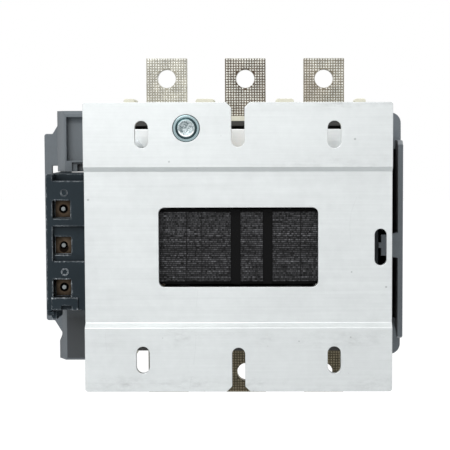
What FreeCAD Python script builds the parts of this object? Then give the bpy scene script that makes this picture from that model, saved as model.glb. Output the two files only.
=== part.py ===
import FreeCAD, Part
import math
import os

# Three-pole magnetic contactor on a flat rear mounting plate.
# Frame: +Z up, +Y from the wall to the front, +X to the right as seen from
# behind. The origin is the centre of the fixing slots on the mounting plane.
# All sizes are in millimetres.

# Mounting plate: one sheet, its middle set a little further from the wall
PLATE_W = 154.2
PLATE_H = 145.0
PLATE_T = 3.0
PLATE_CORNER_R = 1.4
JOGGLE_STEP = 2.6
JOGGLE_Z = 38.0
JOGGLE_RUN = 2.3
SLOT_X = 48.0
SLOT_Z = 56.5
SLOT_W = 6.6
SLOT_L = 13.6
NOTCH_W = 6.6
NOTCH_ROOT_Z = 50.3
NOTCH_FLARE = 2.6
WINDOW_W = 80.0
WINDOW_H = 40.0
WINDOW_R = 3.0
SIDE_SLOT_X = 71.3
SIDE_SLOT_W = 6.0
SIDE_SLOT_L = 18.5

# Earth stud, its head let flush into the plate
EARTH_X = -25.7
EARTH_Z = 59.6
EARTH_HEAD_R = 6.8
EARTH_HEAD_T = 1.6
EARTH_GROOVE_R = 5.2
EARTH_CENTRE_R = 4.1
EARTH_GROOVE_DEPTH = 0.5
EARTH_R = 4.0
EARTH_LENGTH = 21.0
EARTH_WASHER_R = 8.0
EARTH_WASHER_T = 1.6
EARTH_NUT_AF = 13.0
EARTH_NUT_T = 6.4

# Fixed magnet core, laminated along Z
CORE_PAD_T = 1.6
CORE_PAD_MARGIN = 2.0
COIL_WINDOW_W = 22.0
CORE_STACK = 35.0
YOKE_T = 20.0
SIDE_LEG_W = 16.0
CENTRE_LEG_W = 36.0
CORE_DEPTH = 61.2
CHEEK_T = 1.5
CHEEK_INSET = 0.8
LAMINATION_PITCH = 5.0
LAMINATION_GROOVE = 0.35
KEY_XS = (-1.5, 14.65)
KEY_W = 5.0
KEY_DEPTH = 3.0
KEY_SET_BACK = 0.35
RIVET_R = 2.5
RIVET_HEAD_R = 4.2
RIVET_HEAD_T = 1.0
CORE_PIN_X = 28.0
CORE_PIN_R = 4.0
CORE_PIN_END = 1.5
SLEEVE_T = 2.0
SLEEVE_FLANGE_T = 1.6
RING_W = 2.0
RING_DEPTH = 3.0
RING_INNER_W = 5.0
RING_OFFSET = 2.0

# Brackets that hold the core's pins
BRACKET_T = 2.0
BRACKET_GAP = 1.5
BRACKET_W = 76.0
BRACKET_FOOT = 15.5
BRACKET_H = 20.0
BRACKET_STUD_X = 20.0
BRACKET_STUD_R = 2.0
BRACKET_STUD_L = 7.5
BRACKET_NUT_AF = 7.0
BRACKET_NUT_T = 3.2

# Coil on the centre leg
COIL_GAP = 0.6
BOBBIN_WALL = 2.0
BOBBIN_FLANGE_T = 2.5
COIL_SIDE_GAP = 0.7
BOBBIN_CORNER_R = 3.0
WINDING_GAP = 0.1
WINDING_INSET = 1.0
WINDING_R = 6.0

# Magnet frame: folded sheet on four columns
COLUMN_CLEAR = 2.0
COLUMN_Z = 48.0
COLUMN_R = 6.0
FRAME_T = 2.0
FRAME_SIDE_GAP = 1.5
FRAME_END_GAP = 1.6
FRAME_FLANGE = 17.6
FRAME_BEND_R = 3.2
FRAME_OPENING_MARGIN = 2.0
M6_R = 2.95
M6_HEAD_R = 5.0
M6_HEAD_T = 4.0
M6_LENGTH = 12.0
M5_R = 2.45
M5_HEAD_R = 4.2
M5_HEAD_T = 3.2
M5_LENGTH = 15.0
THREAD_GAP = 0.05
HOLE_GAP = 0.25
HOUSING_SCREW_X = 28.0
HOUSING_SCREW_CLEAR = 5.5

# Magnet travel
AIR_GAP = 9.0
TRAVEL = 8.8
OVERTRAVEL = 2.2
ARMATURE_T = 24.0
ARMATURE_LEG = 6.0
ARMATURE_PIN_R = 4.0
ARMATURE_PAD_T = 2.2
ARMATURE_PIN_INSET = 9.0

# Main housing behind the poles
WALL = 3.0
POLE_PITCH = 48.0
HOUSING_H = 128.0
HOUSING_REAR_Y = 70.0
LEDGE_W = 3.0
DECK_GAP = 2.6
DECK_T = 3.0
HOUSING_FRONT_Y = 130.0
BOSS_R = 5.5
STEM_GAP = 1.0

# Contact carrier
CARRIER_STOP = 0.3
CROSSBAR_T = 12.0
CROSSBAR_H = 22.0
POST_W = 20.6
POST_H = 18.0
POST_GAP = 0.4
POST_TOP_T = 4.0
STEM_W = 40.0
CHEEK_ARM_T = 4.0
CHEEK_ARM_W = 28.0
CHEEK_ARM_GAP = 0.8
SPRING_ARM_W = 16.0
SPRING_ARM_T = 5.0
RETURN_SPRING_Z = 31.5
RETURN_SPRING_R = 5.6
RETURN_WIRE_R = 0.7
RETURN_TURNS = 4
CONTACT_SPRING_R = 4.9
CONTACT_WIRE_R = 0.8
CONTACT_TURNS = 3
SPRING_ROOM = 14.0

# Pole base and terminal bars
BASE_T = 15.0
BASE_H = 134.8
BARRIER_W = 11.0
BARRIER_TOP_Z = 77.9
BARRIER_FOOT_Z = 46.0
BARRIER_R = 1.5
EDGE_BARRIER_W = 6.6
EDGE_BARRIER_INSET = 0.8
BAR_W = 25.0
BAR_T = 5.0
BAR_END_Z = 103.0
BAR_INNER_Z = 22.0
BAR_HOLE_R = 5.5
BAR_HOLE_Z = 90.5
BAR_SCREW_Z = 54.0
TIP_W = 14.0
TIP_L = 11.0
TIP_T = 2.6
TIP_Z = 30.5
TIP_CHAMFER = 1.5
BRIDGE_W = 14.0
BRIDGE_T = 4.6
BRIDGE_L = 76.0
BRIDGE_CRANK = 2.0
BRIDGE_GAP = 0.1
SPRING_SEAT_R = 2.6
SPRING_SEAT_H = 2.2
BASE_SCREW_Z = 38.0
BASE_SCREW_SINK = 3.7
COVER_SCREW_Z = 60.0
COVER_SCREW_BITE = 11.0

# Arc cover in front of the poles
COVER_GAP = 0.2
COVER_DEPTH = 68.8
COVER_H = 136.0
COVER_CORNER_R = 5.0
PARTITION_T = 3.0
TOWER_R = 5.0
SCREW_SINK = 5.0
VENT_W = 3.4
VENT_L = 24.0
VENT_PITCH = 8.0
VENT_COUNT = 4
VENT_INSET = 5.0
STEP_SINK = 6.0
STEP_H = 20.0
INDICATOR_W = 11.0
INDICATOR_H = 7.0
INDICATOR_GAP = 0.5
INDICATOR_INSET = 2.0
INDICATOR_R = 1.0
SPLITTER_T = 1.2
SPLITTER_PITCH = 7.6
SPLITTER_ROOM = 6.0
SPLITTER_LIFT = 10.0
SPLITTER_INNER_Z = 42.0
SPLITTER_NOTCH_W = 18.0
SPLITTER_NOTCH_L = 9.0
SPLITTER_GAP = 0.3

# Side housings
SIDE_GAP = 0.3
LEFT_X = -103.7
LEFT_REAR_Y = 72.0
LEFT_FRONT_Y = 150.0
LEFT_H = 139.4
LEFT_CHAMFER_X = 5.4
LEFT_CHAMFER_Y = 8.0
LEFT_EDGE_R = 2.0
POCKET_TOP_Z = 66.2
POCKET_BOTTOM_Z = 42.0
POCKET_DEPTH = 4.0
POCKET_FILLET = 3.6
POCKET_RIM_W = 1.0
POCKET_SILL = 2.0
FACE_X = -94.4
FACE_STEP_X = -91.6
FACE_SINK = 1.2
RECESS_DEPTH_X = 15.2
SCALLOP_DEPTH = 1.8
SCALLOP_Z = -56.0
RIGHT_X = 89.3
RIGHT_REAR_Y = 85.0
RIGHT_FRONT_Y = 200.0
RIGHT_H = 137.6
RIGHT_EDGE_R = 6.0
GUARD_REAR_Y = 38.0
GUARD_H = 106.4
GUARD_T = 2.9
GUARD_REAR_X = 86.0
GUARD_RECESS_H = 96.0
GUARD_FOOT = 2.0
GUARD_TRIM_Y = 9.6
GUARD_TRIM_Z = 2.0
LUG_T = 3.2
LUG_X = 74.3
LUG_Z = -2.3
LUG_ROOT_H = 13.8
LUG_TIP_H = 11.0
LUG_TAPER = 3.0
LUG_NUB = 1.4
SIDE_SCREW_Y = 116.0
SIDE_SCREW_Z = 52.0
SIDE_SCREW_R = 1.7
SIDE_SCREW_HEAD_T = 2.2

# Coil terminal block
BLOCK_REAR_Y = 40.0
BLOCK_WALL_T = 3.6
BLOCK_LEFT_X = -103.4
BLOCK_TOP_Z = 35.6
BLOCK_BOTTOM_Z = -40.0
BLOCK_FACE_TOP_Z = 32.1
BLOCK_FACE_LOW_Z = -37.0
BLOCK_RIGHT_X = -79.0
BLOCK_ROOF_Y = 50.0
BLOCK_ROOF_T = 4.5
BLOCK_FLOOR_T = 3.0
BLOCK_FRONT_Y = 104.0
BLOCK_EDGE_R = 2.0
DIVIDER_T = 2.0
DIVIDER_SETBACK = 4.0
BRACE_RIGHT_X = -86.6
BRACE_LOW_Z = -36.6
BRACE_TOP_Z = -30.0
BRACE_PROUD = 1.0
BRACE_NOTCH_X = -92.9
BRACE_NOTCH_W = 5.6
BRACE_NOTCH_H = 2.2
FOOT_X = -99.8
FOOT_W = 2.8
FOOT_H = 2.2
FOOT_L = 20.0
CELL_ZS = (16.9, -2.6, -25.2)
CELL_W = 9.2
CELL_H = 9.6
CELL_FLOOR_Y = 48.0
CELL_SINK = 2.4
CELL_SINK_UP = 10.5
CELL_SINK_DOWN = 8.0
SCREW_X = -95.0
CLAMP_T = 1.5
CLAMP_SIZE = 8.6
CLAMP_GAP = 0.1
CLAMP_HOLE_R = 2.1
CLAMP_SCREW_R = 1.9
CLAMP_TIP_R = 1.1
CLAMP_HEAD_R = 3.6
CLAMP_HEAD_T = 2.6
CLAMP_POINT_L = 1.6
CLAMP_POINT_PROUD = 0.6
CLAMP_SLOT_W = 1.0
CLAMP_SLOT_DEPTH = 1.1
LINK_T = 1.2
LINK_W = 4.0
LINK_TAG = 2.0
LINK_Z = 26.0
RING_MARK_X = -93.6
RING_MARK_R = 1.9
RING_MARK_W = 0.5
RING_MARK_H = 0.25
RING_MARK_ZS = (25.7, -16.4)

# Front housing at the left, with the well to the coil terminals
WING_X = -122.0
WING_REAR_Y = 138.0
WING_FRONT_Y = 200.0
WING_H = 114.0
WING_SLOPE_X = -117.0
WING_BODY_X = -111.5
WING_BODY_H = 132.0
WING_WALL = 2.8
WING_EDGE_R = 1.5
WING_LIP_W = 4.7
WING_LIP_L = 12.0
WELL_H = 75.2
WELL_RIGHT_X = -88.0

# Worked-out places along the depth
PLATE_FRONT = JOGGLE_STEP + PLATE_T
CORE_REAR = PLATE_FRONT + CORE_PAD_T
YOKE_FRONT = CORE_REAR + YOKE_T
CORE_FACE = CORE_REAR + CORE_DEPTH
FRAME_REAR = CORE_FACE - FRAME_T
COIL_REAR = YOKE_FRONT + SIDE_GAP
COIL_FRONT = FRAME_REAR - SIDE_GAP
FRAME_LIP = CORE_FACE + FRAME_FLANGE - FRAME_T
ARMATURE_FACE = CORE_FACE + AIR_GAP
ARMATURE_FRONT = ARMATURE_FACE + ARMATURE_T
DECK_REAR = ARMATURE_FRONT + DECK_GAP
DECK_FRONT = DECK_REAR + DECK_T
CROSSBAR_FRONT = HOUSING_FRONT_Y - CARRIER_STOP
CROSSBAR_REAR = CROSSBAR_FRONT - CROSSBAR_T
BASE_FRONT = HOUSING_FRONT_Y + BASE_T
BAR_FRONT = BASE_FRONT + BAR_T
FIXED_TIP_FRONT = BAR_FRONT + TIP_T
CONTACT_GAP = TRAVEL - OVERTRAVEL + BRIDGE_GAP
BRIDGE_TIP_REAR = FIXED_TIP_FRONT + CONTACT_GAP
BRIDGE_REAR = BRIDGE_TIP_REAR + TIP_T
SEAT_Y = BRIDGE_REAR + BRIDGE_CRANK
BRIDGE_FRONT = SEAT_Y + BRIDGE_T
POST_WINDOW_TOP = BRIDGE_FRONT + SPRING_ROOM
POST_FRONT = POST_WINDOW_TOP + POST_TOP_T
COVER_REAR = BAR_FRONT + COVER_GAP
COVER_FRONT_Y = COVER_REAR + COVER_DEPTH
COVER_STEP_Y = COVER_FRONT_Y - STEP_SINK
CHAMBER_FRONT = COVER_STEP_Y - WALL

# Worked-out half widths and places across
HALF_STACK = CORE_STACK / 2
CHEEK_Z = HALF_STACK + CHEEK_T
CENTRE_X = CENTRE_LEG_W / 2
LEG_X = CENTRE_X + COIL_WINDOW_W
CORE_X = LEG_X + SIDE_LEG_W
BOBBIN_X = CENTRE_X + COIL_GAP + BOBBIN_WALL
BOBBIN_Z = CHEEK_Z + COIL_GAP + BOBBIN_WALL
FLANGE_X = LEG_X - COIL_SIDE_GAP
FLANGE_Z = BOBBIN_Z + FLANGE_X - BOBBIN_X
HOUSING_SCREW_Z = FLANGE_Z + M5_HEAD_R + HOUSING_SCREW_CLEAR
PIN_Y = CORE_REAR + YOKE_T / 2
BRACKET_Z = CHEEK_Z + BRACKET_GAP
STUD_Z = BRACKET_Z + BRACKET_FOOT * 0.6
CHAMBER_X = (POLE_PITCH - PARTITION_T) / 2
BODY_INNER_X = POLE_PITCH + CHAMBER_X
BODY_X = BODY_INNER_X + WALL
HOUSING_Z = HOUSING_H / 2
FRAME_X = BODY_INNER_X - FRAME_SIDE_GAP
FRAME_Z = HOUSING_Z - WALL - FRAME_END_GAP
COLUMN_X = FRAME_X - FRAME_T - M6_HEAD_R - COLUMN_CLEAR
POLE_XS = (-POLE_PITCH, 0.0, POLE_PITCH)
LEFT_INNER_X = -BODY_X - SIDE_GAP
RIGHT_INNER_X = BODY_X + SIDE_GAP
RING_Z = CHEEK_Z + SIDE_GAP + RING_W
OPENING_Z = RING_Z + FRAME_OPENING_MARGIN
OPENING_X = CORE_X + FRAME_OPENING_MARGIN


def box(x0, x1, y0, y1, z0, z1):
    """A block between two corners."""
    return Part.makeBox(x1 - x0, y1 - y0, z1 - z0, FreeCAD.Vector(x0, y0, z0))


def rod(r, x, z, y0, y1):
    """A round rod along Y."""
    return Part.makeCylinder(r, y1 - y0, FreeCAD.Vector(x, y0, z), FreeCAD.Vector(0, 1, 0))


def pin_z(r, x, y, z0, z1):
    """A round pin along Z."""
    return Part.makeCylinder(r, z1 - z0, FreeCAD.Vector(x, y, z0), FreeCAD.Vector(0, 0, 1))


def rod_x(r, y, z, x0, x1):
    """A round rod along X."""
    return Part.makeCylinder(r, x1 - x0, FreeCAD.Vector(x0, y, z), FreeCAD.Vector(1, 0, 0))


def hex_y(across, x, z, y0, y1):
    """A hexagon along Y, given across its flats."""
    radius = across / math.sqrt(3)
    points = []
    for step in range(7):
        angle = math.radians(60 * step)
        points.append(FreeCAD.Vector(x + radius * math.cos(angle), y0, z + radius * math.sin(angle)))
    return Part.Face(Part.makePolygon(points)).extrude(FreeCAD.Vector(0, y1 - y0, 0))


def prism_y(points, y0, y1):
    """An outline of (x, z) points, pushed along Y."""
    wire = Part.makePolygon([FreeCAD.Vector(x, y0, z) for x, z in points + points[:1]])
    return Part.Face(wire).extrude(FreeCAD.Vector(0, y1 - y0, 0))


def prism_x(points, x0, x1):
    """An outline of (y, z) points, pushed along X."""
    wire = Part.makePolygon([FreeCAD.Vector(x0, y, z) for y, z in points + points[:1]])
    return Part.Face(wire).extrude(FreeCAD.Vector(x1 - x0, 0, 0))


def prism_z(points, z0, z1):
    """An outline of (x, y) points, pushed along Z."""
    wire = Part.makePolygon([FreeCAD.Vector(x, y, z0) for x, y in points + points[:1]])
    return Part.Face(wire).extrude(FreeCAD.Vector(0, 0, z1 - z0))


def slot_y(x, z, width, length, y0, y1):
    """An upright round-ended slot along Y."""
    half = (length - width) / 2
    shape = box(x - width / 2, x + width / 2, y0, y1, z - half, z + half)
    ends = [rod(width / 2, x, z + end, y0, y1) for end in (-half, half)]
    return shape.fuse(ends).removeSplitter()


def edges_along(shape, axis, test=None):
    """Straight edges along X, Y or Z, kept where the test on their centre holds."""
    found = []
    for edge in shape.Edges:
        if not isinstance(edge.Curve, Part.Line):
            continue
        if abs(getattr(edge.tangentAt(edge.FirstParameter), axis)) < 0.999:
            continue
        if test is None or test(edge.CenterOfMass):
            found.append(edge)
    return found


def rounded(shape, radius, axis, test=None):
    """The shape with its chosen straight edges rounded."""
    return shape.makeFillet(radius, edges_along(shape, axis, test))


def rounded_box(x0, x1, y0, y1, z0, z1, radius, axis="y"):
    """A block with the four edges along one axis rounded."""
    return rounded(box(x0, x1, y0, y1, z0, z1), radius, axis)


def ring_y(outer, inner, x, z, y0, y1):
    """A flat ring about an axis along Y."""
    return rod(outer, x, z, y0, y1).cut(rod(inner, x, z, y0, y1))


def corners(x, z):
    """The four places at plus and minus x and z."""
    return [(sx * x, sz * z) for sx in (-1, 1) for sz in (-1, 1)]


def bolt(radius, head_r, head_t, x, z, seat_y, tip_y):
    """A hexagon bolt whose head rests on seat_y."""
    side = 1 if seat_y > tip_y else -1
    head_y = seat_y + side * head_t
    head = hex_y(head_r * math.sqrt(3), x, z, min(seat_y, head_y), max(seat_y, head_y))
    shank = rod(radius, x, z, min(seat_y, tip_y), max(seat_y, tip_y))
    return head.fuse(shank).removeSplitter()


def pan_screw(radius, head_r, head_t, x, z, seat_y, tip_y):
    """A pan-head screw with a cross recess, its head in front of seat_y."""
    head_y = seat_y + head_t
    head = rod(head_r, x, z, seat_y, head_y)
    rim = [e for e in head.Edges if abs(e.CenterOfMass.y - head_y) < 0.01 and e.Length > head_r]
    head = head.makeChamfer(head_t * 0.3, rim)
    low = head_y - head_t * 0.5
    arm, half = head_r * 0.62, head_r * 0.13
    cross = box(x - arm, x + arm, low, head_y, z - half, z + half)
    cross = cross.fuse(box(x - half, x + half, low, head_y, z - arm, z + arm))
    return head.cut(cross).fuse(rod(radius, x, z, tip_y, seat_y)).removeSplitter()


def coil_spring(x, z, y0, y1, radius, half_wire, turns):
    """A compression spring of square wire along Y, between two seats."""
    length = y1 - y0 - 2.2 * half_wire
    path = Part.makeHelix(length / turns, length, radius)
    start = path.Edges[0].valueAt(path.Edges[0].FirstParameter)
    tangent = path.Edges[0].tangentAt(path.Edges[0].FirstParameter)
    out = FreeCAD.Vector(half_wire, 0, 0)
    up = tangent.cross(out)
    section = Part.makePolygon([start - out - up, start + out - up, start + out + up,
                                start - out + up, start - out - up])
    spring = Part.Wire(path.Edges).makePipeShell([section], True, True)
    spring.Placement = FreeCAD.Placement(FreeCAD.Vector(x, y0 + 1.1 * half_wire, z),
                                         FreeCAD.Rotation(FreeCAD.Vector(1, 0, 0), -90))
    return spring


def save(name, *solids):
    """One sub-part, written as its own file."""
    shape = solids[0] if len(solids) == 1 else Part.makeCompound(list(solids))
    shape.exportStep("parts/" + name + ".step")


def mounting_plate():
    """Sheet with raised middle, slots, notches and a window on the magnet."""
    half = PLATE_H / 2
    outer_z = JOGGLE_Z + JOGGLE_RUN
    rear = [(0, half), (0, outer_z), (JOGGLE_STEP, JOGGLE_Z)]
    rear += [(y, -z) for y, z in reversed(rear)]
    front = [(y + PLATE_T, z) for y, z in reversed(rear)]
    plate = prism_x(rear + front, -PLATE_W / 2, PLATE_W / 2)
    plate = rounded(plate, PLATE_CORNER_R, "y", lambda c: abs(c.z) > half - 1)
    cuts = [slot_y(x, z, SLOT_W, SLOT_L, -1, PLATE_FRONT + 1) for x, z in corners(SLOT_X, SLOT_Z)]
    for side in (-1, 1):
        root = NOTCH_ROOT_Z + NOTCH_W / 2
        cuts.append(rod(NOTCH_W / 2, 0, side * root, -1, PLATE_FRONT + 1))
        mouth = [(-NOTCH_W / 2, side * root), (NOTCH_W / 2, side * root),
                 (NOTCH_W / 2, side * (half - NOTCH_FLARE)),
                 (NOTCH_W / 2 + NOTCH_FLARE, side * (half + 0.01)),
                 (-NOTCH_W / 2 - NOTCH_FLARE, side * (half + 0.01)),
                 (-NOTCH_W / 2, side * (half - NOTCH_FLARE))]
        cuts.append(prism_y(mouth, -1, PLATE_FRONT + 1))
    cuts.append(rounded_box(-WINDOW_W / 2, WINDOW_W / 2, -1, PLATE_FRONT + 1,
                            -WINDOW_H / 2, WINDOW_H / 2, WINDOW_R, "y"))
    cuts.append(slot_y(SIDE_SLOT_X, 0, SIDE_SLOT_W, SIDE_SLOT_L, -1, PLATE_FRONT + 1))
    cuts.append(rod(EARTH_HEAD_R + THREAD_GAP, EARTH_X, EARTH_Z, -1, EARTH_HEAD_T))
    cuts.append(rod(EARTH_R + THREAD_GAP, EARTH_X, EARTH_Z, 0, PLATE_T + 1))
    plate = plate.cut(cuts)
    studs = [rod(BRACKET_STUD_R, x, z, PLATE_FRONT - 0.5, PLATE_FRONT + BRACKET_STUD_L)
             for x, z in corners(BRACKET_STUD_X, STUD_Z)]
    return plate.fuse(studs).removeSplitter()


def earth_stud():
    """Press-in stud whose grooved round head lies flush with the plate's back."""
    head = rod(EARTH_HEAD_R, EARTH_X, EARTH_Z, 0, EARTH_HEAD_T)
    groove = ring_y(EARTH_GROOVE_R, EARTH_CENTRE_R, EARTH_X, EARTH_Z, 0, EARTH_GROOVE_DEPTH)
    shank = rod(EARTH_R, EARTH_X, EARTH_Z, EARTH_HEAD_T, EARTH_LENGTH)
    return head.cut(groove).fuse(shank).removeSplitter()


def earth_washer():
    """Flat washer under the earth nut."""
    return ring_y(EARTH_WASHER_R, EARTH_R + HOLE_GAP, EARTH_X, EARTH_Z,
                  PLATE_T, PLATE_T + EARTH_WASHER_T)


def earth_nut():
    """Hexagon nut on the earth stud."""
    seat = PLATE_T + EARTH_WASHER_T
    nut = hex_y(EARTH_NUT_AF, EARTH_X, EARTH_Z, seat, seat + EARTH_NUT_T)
    return nut.cut(rod(EARTH_R + THREAD_GAP, EARTH_X, EARTH_Z, seat, seat + EARTH_NUT_T))


def core_pads():
    """Two rubber strips between the plate and the ends of the core."""
    half_z = HALF_STACK - CORE_PAD_MARGIN
    pads = []
    for side in (-1, 1):
        x0, x1 = sorted((side * (LEG_X + CORE_PAD_MARGIN), side * (CORE_X - CORE_PAD_MARGIN)))
        pads.append(box(x0, x1, PLATE_FRONT, CORE_REAR, -half_z, half_z))
    return pads


def core_outline(inset):
    """The E shape of the fixed core, as (x, y) points."""
    low, high = CORE_REAR + inset, CORE_FACE - inset
    outer, inner, centre = CORE_X - inset, LEG_X + inset, CENTRE_X - inset
    deep = YOKE_FRONT - inset
    return [(-outer, low), (outer, low), (outer, high), (inner, high), (inner, deep),
            (centre, deep), (centre, high), (-centre, high), (-centre, deep),
            (-inner, deep), (-inner, high), (-outer, high)]


def core_rivet_places():
    """Rivet axes in the yoke and the side legs, as (x, y)."""
    leg = (LEG_X + CORE_X) / 2
    high = CORE_FACE - SIDE_LEG_W * 0.75
    return [(-leg, high), (leg, high), (0.0, PIN_Y)]


def core_holes():
    """Tools for what passes through the laminations and the cheek plates."""
    tools = [pin_z(RIVET_R + THREAD_GAP, x, y, -CHEEK_Z - 1, CHEEK_Z + 1)
             for x, y in core_rivet_places()]
    for side in (-1, 1):
        tools.append(pin_z(CORE_PIN_R + THREAD_GAP, side * CORE_PIN_X, PIN_Y, -CHEEK_Z - 1, CHEEK_Z + 1))
        for low, high in ring_bars():
            x0, x1 = sorted((side * low, side * high))
            tools.append(box(x0, x1, CORE_FACE - RING_DEPTH - 0.2, CORE_FACE + 1, -CHEEK_Z - 1, CHEEK_Z + 1))
    for x in KEY_XS:
        tools.append(box(x - KEY_W / 2, x + KEY_W / 2, CORE_REAR - 1, CORE_REAR + KEY_DEPTH,
                         -CHEEK_Z - 1, CHEEK_Z + 1))
    return tools


def ring_bars():
    """The two spans across a side leg that the shading ring's bars fill."""
    first = LEG_X + RING_OFFSET
    second = first + RING_W + RING_INNER_W
    return [(first, first + RING_W), (second, second + RING_W)]


def fixed_core():
    """E-shaped stack of laminations, with the joints of its leaves on the back."""
    core = prism_z(core_outline(0), -HALF_STACK, HALF_STACK).cut(core_holes())
    half = LAMINATION_GROOVE / 2
    count = int(HALF_STACK / LAMINATION_PITCH - 0.5)
    grooves = []
    for step in range(-count, count + 1):
        z = step * LAMINATION_PITCH
        grooves.append(box(-CORE_X, CORE_X, CORE_REAR, CORE_REAR + LAMINATION_GROOVE, z - half, z + half))
    return core.cut(grooves)


def core_keys():
    """Two bars let into the back of the core to hold its leaves together."""
    gap = THREAD_GAP
    return [box(x - KEY_W / 2 + gap, x + KEY_W / 2 - gap, CORE_REAR + KEY_SET_BACK,
                CORE_REAR + KEY_DEPTH, -CHEEK_Z, CHEEK_Z) for x in KEY_XS]


def core_cheek_plates():
    """Steel end plates of the stack, a little smaller than the leaves."""
    tools = core_holes()
    plates = []
    for side in (-1, 1):
        z0, z1 = sorted((side * HALF_STACK, side * CHEEK_Z))
        plates.append(prism_z(core_outline(CHEEK_INSET), z0, z1).cut(tools))
    return plates


def rivet(x, y, half):
    """A rivet along Z with a flat round head at each end."""
    shank = pin_z(RIVET_R, x, y, -half, half)
    heads = [pin_z(RIVET_HEAD_R, x, y, half, half + RIVET_HEAD_T),
             pin_z(RIVET_HEAD_R, x, y, -half - RIVET_HEAD_T, -half)]
    return shank.fuse(heads).removeSplitter()


def core_rivets():
    """Rivets through the stack and both cheek plates."""
    return [rivet(x, y, CHEEK_Z) for x, y in core_rivet_places()]


def core_pins():
    """Two pins across the yoke, which carry the core in its brackets."""
    end = BRACKET_Z + BRACKET_T + SLEEVE_FLANGE_T + CORE_PIN_END
    return [pin_z(CORE_PIN_R, side * CORE_PIN_X, PIN_Y, -end, end) for side in (-1, 1)]


def pin_sleeves():
    """Rubber bushes between the pins and the brackets."""
    bushes = []
    near = BRACKET_Z - SIDE_GAP
    flange = BRACKET_Z + BRACKET_T
    for x, side in corners(CORE_PIN_X, 1):
        body = pin_z(CORE_PIN_R + SLEEVE_T - THREAD_GAP, x, PIN_Y, near, flange)
        body = body.fuse(pin_z(CORE_PIN_R + SLEEVE_T * 1.8, x, PIN_Y, flange, flange + SLEEVE_FLANGE_T))
        body = body.cut(pin_z(CORE_PIN_R + THREAD_GAP, x, PIN_Y, near, flange + SLEEVE_FLANGE_T))
        body = body.removeSplitter()
        if side < 0:
            body = body.mirror(FreeCAD.Vector(0, 0, 0), FreeCAD.Vector(0, 0, 1))
        bushes.append(body)
    return bushes


def core_brackets():
    """Folded brackets above and below the core, on the plate's welded studs."""
    low, high = PLATE_FRONT, PLATE_FRONT + BRACKET_H
    near, far = BRACKET_Z, BRACKET_Z + BRACKET_T
    foot = BRACKET_Z + BRACKET_FOOT
    inner = low + BRACKET_T
    profile = [(low, near), (high, near), (high, far), (inner, far), (inner, foot), (low, foot)]
    bracket = prism_x(profile, -BRACKET_W / 2, BRACKET_W / 2)
    bracket = rounded(bracket, BRACKET_T, "x", lambda c: c.y < low + 0.1 and c.z < near + 0.1)
    bracket = rounded(bracket, BRACKET_T * 2, "z", lambda c: c.y > high - 0.1)
    holes = [pin_z(CORE_PIN_R + SLEEVE_T, side * CORE_PIN_X, PIN_Y, near - 1, far + 1) for side in (-1, 1)]
    holes += [rod(BRACKET_STUD_R + HOLE_GAP, side * BRACKET_STUD_X, STUD_Z, low - 1, inner + 1)
              for side in (-1, 1)]
    bracket = bracket.cut(holes)
    return [bracket, bracket.mirror(FreeCAD.Vector(0, 0, 0), FreeCAD.Vector(0, 0, 1))]


def bracket_nuts():
    """Nuts on the studs that hold the brackets."""
    seat = PLATE_FRONT + BRACKET_T
    nuts = []
    for x, z in corners(BRACKET_STUD_X, STUD_Z):
        nut = hex_y(BRACKET_NUT_AF, x, z, seat, seat + BRACKET_NUT_T)
        nuts.append(nut.cut(rod(BRACKET_STUD_R + THREAD_GAP, x, z, seat, seat + BRACKET_NUT_T)))
    return nuts


def shading_rings():
    """Copper loops let into the pole faces of the side legs."""
    rings = []
    (first, _), (_, last) = ring_bars()
    gap = THREAD_GAP
    for side in (-1, 1):
        x0, x1 = sorted((side * (first + gap), side * (last - gap)))
        low, high = CORE_FACE - RING_DEPTH, CORE_FACE - 0.1
        loop = box(x0, x1, low, high, -RING_Z, RING_Z)
        bar = RING_W - 2 * gap
        loop = loop.cut(box(x0 + bar, x1 - bar, low, high, -RING_Z + RING_W, RING_Z - RING_W))
        rings.append(loop)
    return rings


def coil_bobbin():
    """Moulded former with two flanges, round the centre leg."""
    inner_x, inner_z = BOBBIN_X - BOBBIN_WALL, BOBBIN_Z - BOBBIN_WALL
    body = box(-BOBBIN_X, BOBBIN_X, COIL_REAR, COIL_FRONT, -BOBBIN_Z, BOBBIN_Z)
    flanges = [rounded_box(-FLANGE_X, FLANGE_X, y, y + BOBBIN_FLANGE_T, -FLANGE_Z, FLANGE_Z, BOBBIN_CORNER_R)
               for y in (COIL_REAR, COIL_FRONT - BOBBIN_FLANGE_T)]
    hollow = box(-inner_x, inner_x, COIL_REAR, COIL_FRONT, -inner_z, inner_z)
    return body.fuse(flanges).cut(hollow).removeSplitter()


def coil_winding():
    """Wrapped winding between the bobbin's flanges."""
    inner_x, inner_z = BOBBIN_X + WINDING_GAP, BOBBIN_Z + WINDING_GAP
    outer_x, outer_z = FLANGE_X - WINDING_INSET, FLANGE_Z - WINDING_INSET
    y0, y1 = COIL_REAR + BOBBIN_FLANGE_T + WINDING_GAP, COIL_FRONT - BOBBIN_FLANGE_T - WINDING_GAP
    winding = rounded_box(-outer_x, outer_x, y0, y1, -outer_z, outer_z, WINDING_R)
    return winding.cut(box(-inner_x, inner_x, y0, y1, -inner_z, inner_z))


def frame_columns():
    """Four columns welded to the plate, bored for the frame's screws."""
    return [rod(COLUMN_R, x, z, PLATE_T, FRAME_REAR).cut(
        rod(M6_R + THREAD_GAP, x, z, FRAME_REAR - M6_LENGTH - 2, FRAME_REAR))
        for x, z in corners(COLUMN_X, COLUMN_Z)]


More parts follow.
